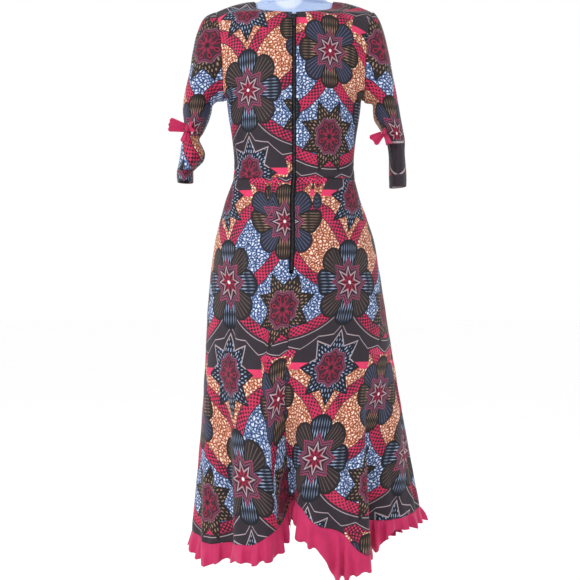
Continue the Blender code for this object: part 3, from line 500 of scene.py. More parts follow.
    # stars and flowers on top, taller than they are wide, in two colourways each
    edge = paintOver(put, colour(printed["black"]), [(dark, "outline")])
    star, flower = makeStar(), makeFlower()
    for group, place, values in (
            (star, "starTwo", {"turn": 0, "dash": "paleBlue", "ground": "navy", "edge": edge}),
            (star, "starOne", {"turn": math.pi / 8, "dash": "tan", "ground": "brown", "edge": "black"}),
            (flower, "flowerTwo", {"stripe": "paleBlue", "stripeGround": "navy",
                                   "line": "umber", "lineGround": "umberDark"}),
            (flower, "flowerOne", {"stripe": "tan", "stripeGround": "brown",
                                   "line": "greyBlue", "lineGround": "slate"})):
        size = printed["flowerTwoSize"] if place == "flowerTwo" else 1
        local = put("VectorMath MULTIPLY", centres[place], (size, size * printed["tall"], 1))
        inputs = {k: colour(printed[v]) if isinstance(v, str) else v for k, v in values.items()}
        motif = put("Group", {"local": local, **inputs}, node_tree=group).node.outputs
        tint = paintOver(put, tint, [(motif["mask"], motif["colour"])])

    # the dye takes a little unevenly
    uneven = put("TexNoise", {"Vector": cloth, "Scale": 38, "Detail": 4})
    fade = put("MapRange", uneven, 0.3, 0.7, 0.86, 1.1)
    tint = put("VectorMath SCALE", {0: tint, "Scale": fade})
    return finish(material, shader, tint, weave(put, cloth, 55))


def weave(put, cloth, scale):
    # relief: threads drawn 1.4 mm apart so that they show, over a fine crush
    parts = put("SeparateXYZ", cloth)
    threads = [put("SINE", put("MULTIPLY", v, 2 * math.pi / 0.0014))
               for v in (parts, parts.node.outputs[1])]
    crush = put("TexNoise", {"Vector": cloth, "Scale": scale, "Detail": 5, "Roughness": 0.6})
    return 0.35, 0.0022, put("MULTIPLY_ADD", put("MULTIPLY", *threads), 0.05, crush)


def makePlainCotton():
    # Dyed plain-weave cotton: crisp, matt, a bright magenta that deepens in the gathers
    material, put, shader = newMaterial("magentaCotton", Roughness=0.68, Sheen_Weight=0.15,
                                        Sheen_Roughness=0.45, Specular_IOR_Level=0.35)
    cloth = put("UVMap", uv_map="cloth")
    uneven = put("TexNoise", {"Vector": cloth, "Scale": 30, "Detail": 4})
    tint = paintOver(put, colour("#a8124a"), [(uneven, colour("#cf2c66"))])
    return finish(material, shader, tint, weave(put, cloth, 70))


def makeZipTape():
    # Black woven polyester tape: matt, with a fine herringbone 1 mm across
    material, put, shader = newMaterial("zipTapeTwill", Roughness=0.8, Specular_IOR_Level=0.3)
    place = put("TexCoord", out="Object")
    rib = put("TexWave", {"Vector": place, "Scale": 160, "Distortion": 0.3}, bands_direction="DIAGONAL")
    tint = paintOver(put, colour("#0c0b0e"), [(rib, colour("#1d1b21"))])
    return finish(material, shader, tint, (0.4, 0.0004, rib))


def makeFormPlastic():
    # Blow-moulded polyethylene, pale blue and a little see-through: glossy with a soft orange peel
    material, put, shader = newMaterial(
        "blowMouldedPlastic", Roughness=0.22, IOR=1.5, Subsurface_Weight=0.25,
        Subsurface_Radius=(0.02, 0.03, 0.05), Coat_Weight=0.25, Coat_Roughness=0.12)
    place = put("TexCoord", out="Object")
    cloud = put("TexNoise", {"Vector": place, "Scale": 9, "Detail": 2})
    # a painted highlight: the neck is painted paler in a rounded tongue, in place of light reflected
    # inside its hollow
    highlightTongue = put("VectorMath SUBTRACT", place, (-0.013, 0, 1.52))
    highlightTongue = put("VectorMath MULTIPLY", highlightTongue, (23, 0, 15))
    depth = put("VectorMath LENGTH", highlightTongue, out="Value")
    # how strongly the painted highlight lightens the neck's colour
    paler = put("MapRange", depth, 0.92, 1.05, 0.75, 0)
    tint = paintOver(put, colour("#a3b8e0"), [(cloud, colour("#b4c8ea")), (paler, colour("#dfe8f8"))])
    peel = put("TexNoise", {"Vector": place, "Scale": 160, "Detail": 2})
    return finish(material, shader, tint, (0.06, 0.001, peel))


def makeSteel():
    # Satin-brushed steel: fine turned lines and a dull grey sheen
    material, put, shader = newMaterial("brushedSteel", Metallic=1)
    place = put("TexCoord", out="Object")
    stretched = put("Mapping", {"Vector": place, "Scale": (40, 40, 900)})
    lines = put("TexNoise", {"Vector": stretched, "Scale": 1, "Detail": 3})
    tint = paintOver(put, colour("#a4a6a9"), [(lines, colour("#c9cacc"))])
    roughness = put("MapRange", lines, 0.2, 0.8, 0.42, 0.28)
    return finish(material, shader, tint, (0.08, 0.0004, lines), roughness)


printedCotton = makePrintedCotton()
plainCotton = makePlainCotton()
zipTape = makeZipTape()
formPlastic = makeFormPlastic()
steel = makeSteel()
# black oxidised zinc alloy: a satin dark metal, rubbed a little brighter in places
blackMetal = makeSpeckled("blackZincAlloy", (420, 4), ("#26262a", "#77787e"), (0.45, 0.75, 0, 0.5),
                          (0.2, 0.0002), (0.42, 0.26), Metallic=0.85)
# clear polished acrylic: faint flow marks and a hint of blue
acrylic = makeSpeckled("clearAcrylic", (18, 2), ("#f4f9fc", "#ffffff"), None, (0.05, 0.0004),
                       (0.02, 0.07), Transmission_Weight=1, IOR=1.12)
# twisted polyester sewing thread: dark plum, with a faint twist
darkThread = makeSpeckled("sewingThread", (900, 1), ("#2a1c26", "#54404c"), None, (0.3, 0.0002),
                          Roughness=0.6, Specular_IOR_Level=0.4)
print("materials made")


# Skirt: three flared panels in deep folds
skirt = {
    "thickness": 0.0011, "topRows": 38, "lowerRows": 112, "hipHeight": 0.826, "waist": 1.054,
    "columns": {"Front": 176, "BackLeft": 100, "BackRight": 136},
    "zipEnd": 0.831, "zipOpening": 0.0096, "seamGap": 0.0004, "sideGap": 0.0008, "sideReach": 0.16,
    "topEdge": 0.00024, "deepest": 0.2, "hemLevel": 0.24,
    "panels": {"Front": (0, 180), "BackLeft": (180, 257), "BackRight": (257, 360)},
    "sections": table("height left right back front", [
        (1.054, -0.1455, 0.1455, 0.108, 0.108), (1, -0.165, 0.16, 0.129, 0.118),
        (0.915, -0.187, 0.19, 0.15, 0.133), (0.838, -0.199, 0.204, 0.162, 0.144),
        (0.704, -0.209, 0.225, 0.178, 0.164), (0.55, -0.216, 0.25, 0.196, 0.184),
        (0.397, -0.228, 0.278, 0.214, 0.204), (0.24, -0.243, 0.306, 0.232, 0.222),
        (0.06, -0.256, 0.33, 0.246, 0.236)]),
    "seam": table("height angle", [
        (1.054, 270), (0.831, 267.4), (0.695, 264.6), (0.574, 260.2), (0.43, 257.6),
        (0.06, 256.6)]),
    "troughs": table("top hem height depth before after", [
        (264, 256.9, 0.72, 0.095, 6.5, 7.5), (316, 309, 0.66, 0.075, 5, 17),
        (214, 220, 0.73, 0.045, 9, 8), (341, 338, 0.52, 0.014, 8, 8),
        (193, 196, 0.48, 0.014, 7, 7), (236, 238, 0.44, 0.016, 7, 7),
        (284, 283, 0.43, 0.02, 8, 8), (22, 24, 0.64, 0.026, 10, 10),
        (58, 55, 0.7, 0.032, 10, 10), (92, 92, 0.62, 0.028, 9, 9),
        (124, 127, 0.68, 0.032, 10, 10), (160, 158, 0.6, 0.026, 9, 9)]),
    # cloth that the tucks beside the back seam hide at each height, and how far the left side drops
    "tucks": table("height BackLeft BackRight drop", [
        (1.054, -0.034, -0.034, 0), (0.985, -0.02, -0.022, 0), (0.93, 0, 0, 0),
        (0.835, 0, 0, 0), (0.8, 0.01, -0.008, 0), (0.605, 0.02, 0.036, 0.017),
        (0.385, 0.04, 0.042, 0.05), (0.18, 0.05, 0.05, 0.06)]),
    # smaller soft folds: where each starts and ends, its depth and its half width in degrees
    "folds": table("top hem high low depth width", [
        (223, 226, 0.86, 0.6, 0.0088, 3.2), (231, 231, 0.98, 0.76, 0.0048, 2.4),
        (246, 246, 0.64, 0.15, 0.0064, 2.6), (206, 207, 0.6, 0.15, 0.008, 2.8),
        (274, 270, 0.56, 0.15, 0.0072, 2.8), (292, 294, 0.7, 0.15, 0.008, 2.6),
        (300, 301, 0.96, 0.64, 0.0048, 2.6), (330, 329, 0.56, 0.15, 0.008, 3),
        (350, 349, 0.7, 0.2, 0.0064, 3), (10, 11, 0.62, 0.15, 0.0072, 3),
        (40, 40, 0.56, 0.15, 0.0096, 3.4), (74, 73, 0.52, 0.15, 0.0088, 3),
        (84, 84, 0.96, 0.6, 0.0048, 3), (108, 109, 0.56, 0.15, 0.0088, 3.2),
        (142, 143, 0.56, 0.15, 0.0096, 3.4), (174, 174, 0.64, 0.15, 0.0064, 3),
        (255, 252, 0.9, 0.6, 0.004, 2.4), (281, 279, 0.9, 0.64, 0.004, 2.6)]),
}


def skirtSides(height):
    # middle, half width and the two depths of the skirt's smooth outline at a height
    knots, *sides = skirt["sections"].values()
    left, right, back, front = (curveThrough(knots, side, height) for side in sides)
    return (left + right) / 2, (right - left) / 2, back, front


def angleOff(angle, centre):
    return (angle - centre + 180) % 360 - 180


def skirtPoint(angle, height, fine=True):
    # an oval whose radius shrinks by bell-shaped troughs that deepen towards the hem
    middle, half, back, front = skirtSides(height)
    turn = np.radians(angle)
    x = half * np.cos(turn)
    y = np.where(np.sin(turn) < 0, back, front) * np.sin(turn)
    reach = np.hypot(x, y)
    inward = 0 * reach
    for top, low, start, depth, before, after in zip(*skirt["troughs"].values()):
        down = np.clip((start - height) / (start - skirt["deepest"]), 0, 1.15)
        off = angleOff(angle, top + (low - top) * down)
        width = np.where(off < 0, before, after)
        inward = inward + depth * smoothStep(down) * np.exp(-(off / width) ** 2)
    for top, low, start, end, depth, width in zip(*skirt["folds"].values()) if fine else ():
        down = (start - height) / (start - end)
        off = angleOff(angle, top + (low - top) * np.clip(down, 0, 1))
        # a fold that doesn't reach the hem fades out again
        fade = smoothStep(down * 3) * (1 if end < 0.25 else smoothStep((1 - down) * 3))
        inward = inward + depth * fade * np.exp(-(off / width) ** 2)
    shrink = 1 - inward / reach
    return joined(middle + x * shrink, y * shrink, height)


def seamAngle(height):
    return curveThrough(skirt["seam"]["height"], skirt["seam"]["angle"], height)


def skirtEdges(panel, height):
    # the angles at which a panel starts and ends at each height
    seam = seamAngle(height)
    reach = np.linalg.norm(skirtPoint(seam, height)[..., :2], axis=-1)
    opening = skirt["zipOpening"] * smoothStep((height - skirt["zipEnd"] + 0.01) / 0.012)
    backGap = np.degrees(np.maximum(opening, skirt["seamGap"]) / 2 / reach)
    sideGap = np.degrees(skirt["sideGap"] / 2 / skirt["sideReach"]) + 0 * seam
    return {"Front": (sideGap, 180 - sideGap), "BackLeft": (180 + sideGap, seam - backGap),
            "BackRight": (seam + backGap, 360 - sideGap)}[panel]


hem = table("angle height ruffle flare", [
    (0, 0.274, 0.034, 0.014), (30, 0.24, 0.046, 0.008), (55, 0.208, 0.05, 0.006),
    (75, 0.228, 0.05, 0.004), (92, 0.262, 0.048, 0.004), (108, 0.228, 0.05, 0.004),
    (132, 0.198, 0.05, 0.006), (160, 0.206, 0.048, 0.008), (184, 0.214, 0.034, 0.014),
    (192, 0.21, 0.046, 0.011), (209, 0.197, 0.05, 0.006), (217, 0.203, 0.038, 0.004),
    (224, 0.205, 0.044, 0.004), (232, 0.206, 0.039, 0.004), (241.5, 0.208, 0.046, 0.004),
    (247.7, 0.224, 0.053, 0.004), (251, 0.236, 0.06, 0.004), (254.3, 0.262, 0.056, 0.003),
    (256.9, 0.296, 0.04, 0.002), (259, 0.304, 0.034, 0.002), (262, 0.303, 0.044, 0.002),
    (264.5, 0.298, 0.064, 0.003), (267.7, 0.29, 0.072, 0.004), (271, 0.27, 0.061, 0.004),
    (275.8, 0.254, 0.06, 0.004), (279.5, 0.249, 0.082, 0.006), (283, 0.246, 0.108, 0.008),
    (288, 0.235, 0.101, 0.008), (292.5, 0.21, 0.07, 0.006), (297.3, 0.188, 0.04, 0.005),
    (301.5, 0.188, 0.038, 0.01), (303.8, 0.204, 0.036, 0.006), (306.2, 0.24, 0.056, 0.003),
    (309, 0.254, 0.068, 0.003), (318, 0.254, 0.068, 0.004), (321, 0.254, 0.058, 0.004),
    (324, 0.254, 0.034, 0.004), (331, 0.256, 0.027, 0.006), (345, 0.266, 0.034, 0.012)])


def roundTheHem(name, angle):
    # a column of the hem's table as a closed curve
    knots = np.concatenate([hem["angle"][-2:] - 360, hem["angle"], hem["angle"][:2] + 360])
    values = np.concatenate([hem[name][-2:], hem[name], hem[name][:2]])
    return curveThrough(knots, values, np.asarray(angle) % 360)


def evenShares(panel, count, fine=1200):
    # shares of a panel's angle that space its columns evenly along the hem
    share, height = np.linspace(0, 1, fine), np.full(fine, skirt["hemLevel"])
    start, end = skirtEdges(panel, height)
    run = along(skirtPoint(start + (end - start) * share, height, False), 0)
    return np.interp(np.linspace(0, run[-1], count), run, share)


def skirtGrid(panel):
    # rows at even heights down to the hips, then shared out down to the uneven hem
    shares = evenShares(panel, skirt["columns"][panel] + 1)
    low, high = skirt["panels"][panel]
    edge = roundTheHem("height", low + (high - low) * shares)
    top = np.linspace(skirt["waist"] - skirt["topEdge"], skirt["hipHeight"], skirt["topRows"])[:, None]
    down = np.linspace(0, 1, skirt["lowerRows"] + 1)[1:, None]
    height = np.concatenate([top + 0 * edge, skirt["hipHeight"] + (edge - skirt["hipHeight"]) * down])
    start, end = skirtEdges(panel, height)
    angle = start + (end - start) * shares
    return skirtPoint(angle, height), angle, height


def flatAcross(angle, height, reference):
    # length of cloth round the skirt from the reference line to each point, along its own height: read
    # from a map of rings 15 mm apart, with a point at every quarter of a degree
    low, step, rows, perDegree = 0.16, 0.015, 61, 4
    fan, levels = np.linspace(0, 360, 360 * perDegree + 1), low + step * np.arange(rows)[:, None]
    run = along(skirtPoint(fan + 0 * levels, levels + 0 * fan), 1)

    def lookUp(turn):
        row, column = (height - low) / step, turn * perDegree
        r = np.clip(row.astype(int), 0, rows - 2)
        c = np.clip(column.astype(int), 0, 360 * perDegree - 1)
        fr, fc = row - r, column - c
        return ((1 - fr) * ((1 - fc) * run[r, c] + fc * run[r, c + 1])
                + fr * ((1 - fc) * run[r + 1, c] + fc * run[r + 1, c + 1]))

    return lookUp(angle) - lookUp(reference)


def makeSkirt():
    grids = {}
    for panel in skirt["panels"]:
        points, angle, height = skirtGrid(panel)
        grids[panel] = points
        out = fromAxis(points)
        # soft unevenness, none at the waist and at the panel's sides
        calm = smoothStep((skirt["waist"] - height) / 0.08)
        calm[:, :4] *= (0, 0.1, 0.4, 0.8)
        calm[:, -4:] *= (0.8, 0.4, 0.1, 0)
        moved = points + gridNormals(points, out) * (sway(points, 0.075, 0.0016, 4) * calm)[..., None]
        across = flatAcross(angle, height, 90 + 0 * height if panel == "Front" else seamAngle(height))
        up = (height - skirt["waist"]) * 1.01
        # tucks beside the seam swallow cloth, more and more towards the hem; one point of each panel's
        # flat cloth lies on a motif of the print
        tuck = skirt["tucks"]
        lost, drop = (np.interp(-height, -tuck["height"], tuck[word])
                      for word in ("BackLeft" if panel == "BackLeft" else "BackRight", "drop"))
        if panel == "Front":
            uv = joined(-across, up) - (0, -0.16) + printed["starOne"]
        elif panel == "BackLeft":
            lost = lost * smoothStep((-across - 0.046) / 0.012)
            up = up + drop * smoothStep(-across / 0.05)
            uv = joined(across - lost, up) - (-0.018, -0.1065) + printed["flowerOne"]
        else:
            lost = np.where(height > 0.83, lost * smoothStep((across - 0.046) / 0.012), lost)
            uv = joined(across + lost, up) - (-0.014, -0.1065) + printed["flowerOne"]
        piece = settle(gridMesh("skirt" + panel, moved, out, printedCotton, uv), skirt["thickness"])
        area = gridArea(moved)
        width = float(np.ptp(across[-1])) * 1.02
        length = max(float(np.ptp(height)) * 1.03, area / width * 1.02)
    return grids


# Ruffle: a gathered strip under the hem, in four lengths
ruffle = {
    "thickness": 0.001, "wave": 0.036, "swing": 0.0108, "bulge": 0.0035, "endGap": 0.0008,
    "tuckIn": 0.002, "tuckUp": 0.0036, "pucker": 0.0007, "puckerLength": 0.0085, "gather": 1.35,
    # points for each column of the skirt, rows, and the points ahead and behind that set its direction
    "steps": 3, "rows": 14, "lag": 4,
}


def skirtAngleOf(points):
    x, y, height = points[..., 0], points[..., 1], points[..., 2]
    middle, width, back, front = skirtSides(height)
    return np.degrees(np.arctan2(y / np.where(y < 0, back, front), (x - middle) / width)) % 360


def makeRuffle(grids):
    # the hem's edge as one closed line; each row hangs lower and swings out and in by a wave
    edge = grids["Front"][-1]
    half = len(edge) // 2
    line, starts = [], [0]
    for length in (edge[:half + 1], edge[half:], grids["BackLeft"][-1], grids["BackRight"][-1]):
        index = np.arange(len(length))
        at = np.linspace(0, index[-1], index[-1] * ruffle["steps"] + 1)
        line.append(columnsAt(curveThrough, index, length, at))
        starts.append(starts[-1] + len(line[-1]))
    top = np.concatenate(line)
    step = np.linalg.norm(np.roll(top, -1, axis=0) - top, axis=1)
    total = step.sum()
    run = np.concatenate([[0], np.cumsum(step)[:-1]]) / total
    # the level direction square to the hem, and a calm where the hem turns sharply
    lag = ruffle["lag"]
    ahead = np.roll(top, -lag, axis=0) - np.roll(top, lag, axis=0)
    level = np.maximum(np.hypot(ahead[:, 0], ahead[:, 1]), 1e-6)
    slope = ahead[:, 2] / level
    square = joined(ahead[:, 1], -ahead[:, 0], 0 * level) / level[:, None]
    turning = np.roll(square, -2 * lag, axis=0) - np.roll(square, 2 * lag, axis=0)
    turning = np.linalg.norm(turning, axis=1)
    calm = 1 / (1 + (turning / 0.5) ** 2)
    soft = np.hanning(19) / np.hanning(19).sum()
    calm = np.convolve(np.concatenate([calm[-9:], calm, calm[:9]]), soft, "valid")
    angle = skirtAngleOf(top)
    depth, flare = roundTheHem("ruffle", angle), roundTheHem("flare", angle)
    # waves of uneven length and height, flat-topped, and fine puckers at the seam
    around = 2 * np.pi * run
    phase = round(total / ruffle["wave"]) * around
    phase = phase + 0.9 * np.sin(9 * around) + 0.6 * np.sin(23 * around + 1)
    uneven = 0.85 + 0.25 * np.sin(17 * around) + 0.2 * np.sin(31 * around + 2)
    wave = np.tanh(1.6 * np.cos(phase)) * uneven
    fineWave = np.cos(around * round(total / ruffle["puckerLength"]))
    top = top.copy()
    top[:, 2] -= skirt["seamGap"] * np.sqrt(1 + slope**2) * 2.2
    # the top edge is tucked up behind the printed cloth, so that no gap shows at the seam
    rows = [top - square * ruffle["tuckIn"] + (0, 0, ruffle["tuckUp"] * share) for share in (1, 0.4)]
    for down in np.linspace(0, 1, ruffle["rows"]):
        pucker = ruffle["pucker"] * fineWave * math.exp(-(down / 0.25) ** 2) * min(down * 8, 1)
        bulge = ruffle["bulge"] * math.sin(down * math.pi) * (0.4 + 0.6 * np.cos(phase * 0.5))
        swing = calm * (ruffle["swing"] * wave * down**0.7 + flare * down + pucker + bulge)
        rows.append(top + square * swing[:, None])
        rows[-1][:, 2] -= depth * down * (1 + 0.06 * wave)
    grid = np.array(rows)
    names = (("FrontRight", "Front"), ("FrontLeft", "Front"), ("BackLeft",) * 2, ("BackRight",) * 2)
    for (name, holder), start, end in zip(names, starts[:-1], starts[1:]):
        part = grid[:, start:end].copy()
        for last, inner in ((0, 1), (-1, -2)):
            part[:, last] += unit(part[:, inner] - part[:, last]) * ruffle["endGap"]
        uv = joined(run[start:end] * total * ruffle["gather"], -along(part, 0))
        piece = settle(gridMesh("ruffle" + name, part, fromAxis(part), plainCotton, uv),
                       ruffle["thickness"])


# Bodice: two backs and a front, fitted
bodice = {
    "thickness": 0.0011, "rows": 108, "columns": 68, "zipOpening": 0.0096,
    "shoulderGap": 0.0008, "sideGap": 0.0008, "bust": 0.012, "lift": 0.00024,
    # rows of the two tables at the underarm, at the low point of the neck and at the shoulder
    "underarm": 4, "neckLow": 9, "shoulder": 14,
    "back": table("x0 y0 z0 x1 y1 z1 bend", [
        (0, -0.108, 1.054, 0.1455, 0, 1.054, 90), (0, -0.104, 1.1, 0.1435, 0, 1.1, 90),
        (0, -0.108, 1.15, 0.148, 0, 1.15, 90), (0, -0.114, 1.2, 0.156, 0, 1.2, 90),
        (0, -0.118, 1.244, 0.162, 0, 1.244, 90), (0, -0.12, 1.285, 0.167, -0.044, 1.262, 70),
        (0, -0.121, 1.325, 0.169, -0.062, 1.305, 60), (0, -0.118, 1.365, 0.171, -0.066, 1.35, 55),
        (0, -0.11, 1.405, 0.175, -0.058, 1.395, 50), (0, -0.098, 1.441, 0.18, -0.041, 1.426, 45),
        (0.05, -0.087, 1.446, 0.184, -0.022, 1.444, 35), (0.086, -0.05, 1.457, 0.1853, -0.014, 1.45, 27),
        (0.0915, -0.026, 1.4735, 0.1862, -0.008, 1.4535, 20),
        (0.0945, -0.01, 1.4798, 0.1868, -0.003, 1.4555, 16),
        (0.095, 0.002, 1.481, 0.187, 0.002, 1.456, 15)]),
    "front": table("x0 y0 z0 x1 y1 z1 bend", [
        (0, 0.108, 1.054, 0.1455, 0, 1.054, 90), (0, 0.106, 1.1, 0.1435, 0, 1.1, 90),
        (0, 0.115, 1.15, 0.148, 0, 1.15, 90), (0, 0.126, 1.2, 0.156, 0, 1.2, 90),
        (0, 0.131, 1.244, 0.162, 0, 1.244, 90), (0, 0.129, 1.275, 0.164, 0.04, 1.262, 68),
        (0, 0.122, 1.305, 0.161, 0.058, 1.305, 58), (0, 0.114, 1.335, 0.162, 0.061, 1.35, 52),
        (0, 0.106, 1.362, 0.168, 0.054, 1.395, 46), (0, 0.098, 1.385, 0.176, 0.039, 1.426, 40),
        (0.05, 0.09, 1.398, 0.182, 0.023, 1.444, 32), (0.084, 0.058, 1.436, 0.1845, 0.016, 1.45, 26),
        (0.0905, 0.03, 1.466, 0.186, 0.0105, 1.4535, 20),
        (0.0942, 0.013, 1.4793, 0.1867, 0.006, 1.4555, 16),
        (0.095, 0.002, 1.481, 0.187, 0.002, 1.456, 15)]),
    "creases": table("x z turn length width depth side", [
        (-0.12, 1.085, 20, 0.035, 0.006, 0.0016, -1), (0.118, 1.09, 160, 0.035, 0.006, 0.0016, -1),
        (-0.105, 1.12, 28, 0.04, 0.0065, 0.0014, -1), (0.108, 1.128, 150, 0.04, 0.0065, 0.0014, -1),
        (-0.14, 1.262, 50, 0.035, 0.0065, 0.002, -1), (0.142, 1.262, 130, 0.035, 0.0065, 0.002, -1),
        (-0.125, 1.29, 62, 0.04, 0.007, 0.0018, -1), (0.128, 1.29, 118, 0.04, 0.007, 0.0018, -1),
        (0.03, 1.075, 95, 0.03, 0.006, 0.001, -1), (-0.03, 1.078, 85, 0.03, 0.006, 0.001, -1),
        (-0.12, 1.09, 15, 0.04, 0.007, 0.0016, 1), (0.12, 1.09, 165, 0.04, 0.007, 0.0016, 1),
        (-0.135, 1.262, 40, 0.035, 0.007, 0.0018, 1), (0.135, 1.262, 140, 0.035, 0.007, 0.0018, 1)]),
}


def bodicePoint(side, level, across):
    # a row's curve: part of a circle between its two ends, each end a smooth curve through the table
    rows = bodice[side]
    index = np.arange(len(rows["x0"]))
    x0, y0, z0, x1, y1, z1, bend = (
        curveThrough(index, rows[k], level, bodice["neckLow" if k[1] == "0" else "underarm"])
        for k in rows)
    bend = np.radians(bend)
    x = x0 + (x1 - x0) * np.sin(across * bend) / np.sin(bend)
    y = y0 + (y1 - y0) * (1 - np.cos(across * bend)) / (1 - np.cos(bend))
    z = z0 + (z1 - z0) * across**1.7
    if side == "front":
        y = y + bodice["bust"] * np.exp(-((x - 0.074) / 0.04) ** 2 - ((z - 1.228) / 0.05) ** 2)
    return joined(x, y, z)


def bodiceLevels():
    # rows from the waist to the shoulder, one of them exactly at the low point of the neck
    level = np.linspace(0, bodice["shoulder"], bodice["rows"] + 1)
    low = int(np.argmin(np.abs(level - bodice["neckLow"])))
    level[low] = bodice["neckLow"]
    return level, low


def bodiceGrid(side, firstX):
    level, across = bodiceLevels()[0][:, None], np.linspace(0, 1, bodice["columns"] + 1)[None]
    points = bodicePoint(side, level + 0 * across, across + 0 * level)
    sign = -1 if side == "back" else 1
    points[0, :, 2] += bodice["lift"]
    points[-1, :, 1] += sign * bodice["shoulderGap"] / 2
    points[level[:, 0] <= bodice["underarm"], -1, 1] += sign * bodice["sideGap"] / 2
    points[:, :, 0] += firstX * (1 - across[0]) * (points[:, 0, 0] < 1e-6)[:, None]
    return points


def bodicePanel(name, points, at, motif):
    # a back panel or half of the front, pressed in by its creases; its point at lies on a motif of the
    # print, which runs the other way on the front
    sign, facing = np.sign(points[0, -1, 0]), -np.sign(points[0, 0, 1])
    out = fromAxis(points)
    moved = points - gridNormals(points, out) * creases(points, bodice["creases"])[..., None]
    moved[points[:, 0, 0] * sign < 1e-6, 0, 0] = 0
    across = along(points, 1) * sign + points[:, :1, 0]
    uv = joined(across * facing, along(points, 0)) - at + printed[motif]
    return gridMesh(name, moved, out, printedCotton, uv), gridArea(moved)


def makeBodice():
    back, front = bodiceGrid("back", bodice["zipOpening"] / 2), bodiceGrid("front", 0)
    mirror = np.array([-1, 1, 1])
    for name, points, at, motif in (
            ("bodiceBackRight", back, (0.085, 0.3), "flowerOne"),
            ("bodiceBackLeft", back * mirror, (-0.1125, 0.208), "flowerTwo")):
        piece, area = bodicePanel(name, points, at, motif)
        settle(piece, bodice["thickness"])
    # the front's two halves share the centre line up to the neck, and are merged there
    halves = [bodicePanel(name, points, (0, 0.2), "flowerOne")[0]
              for name, points in (("bodiceFront", front), ("half", front * mirror))]
    with bpy.context.temp_override(active_object=halves[0], selected_editable_objects=halves,
                                   selected_objects=halves, object=halves[0]):
        bpy.ops.object.join()
    closePoles(halves[0])
    piece = settle(halves[0], bodice["thickness"])
    2 * gridArea(front)
    # a line of stitches 5 mm inside the neck's edge
    low = bodiceLevels()[1]
    lines = []
    for grid in (back, back * mirror, front, front * mirror):
        normals = gridNormals(grid, fromAxis(grid))
        lines.append((grid[low - 3:-4, 3], normals[low - 3:-4, 3]))
    makeStitches("neckStitches", lines)


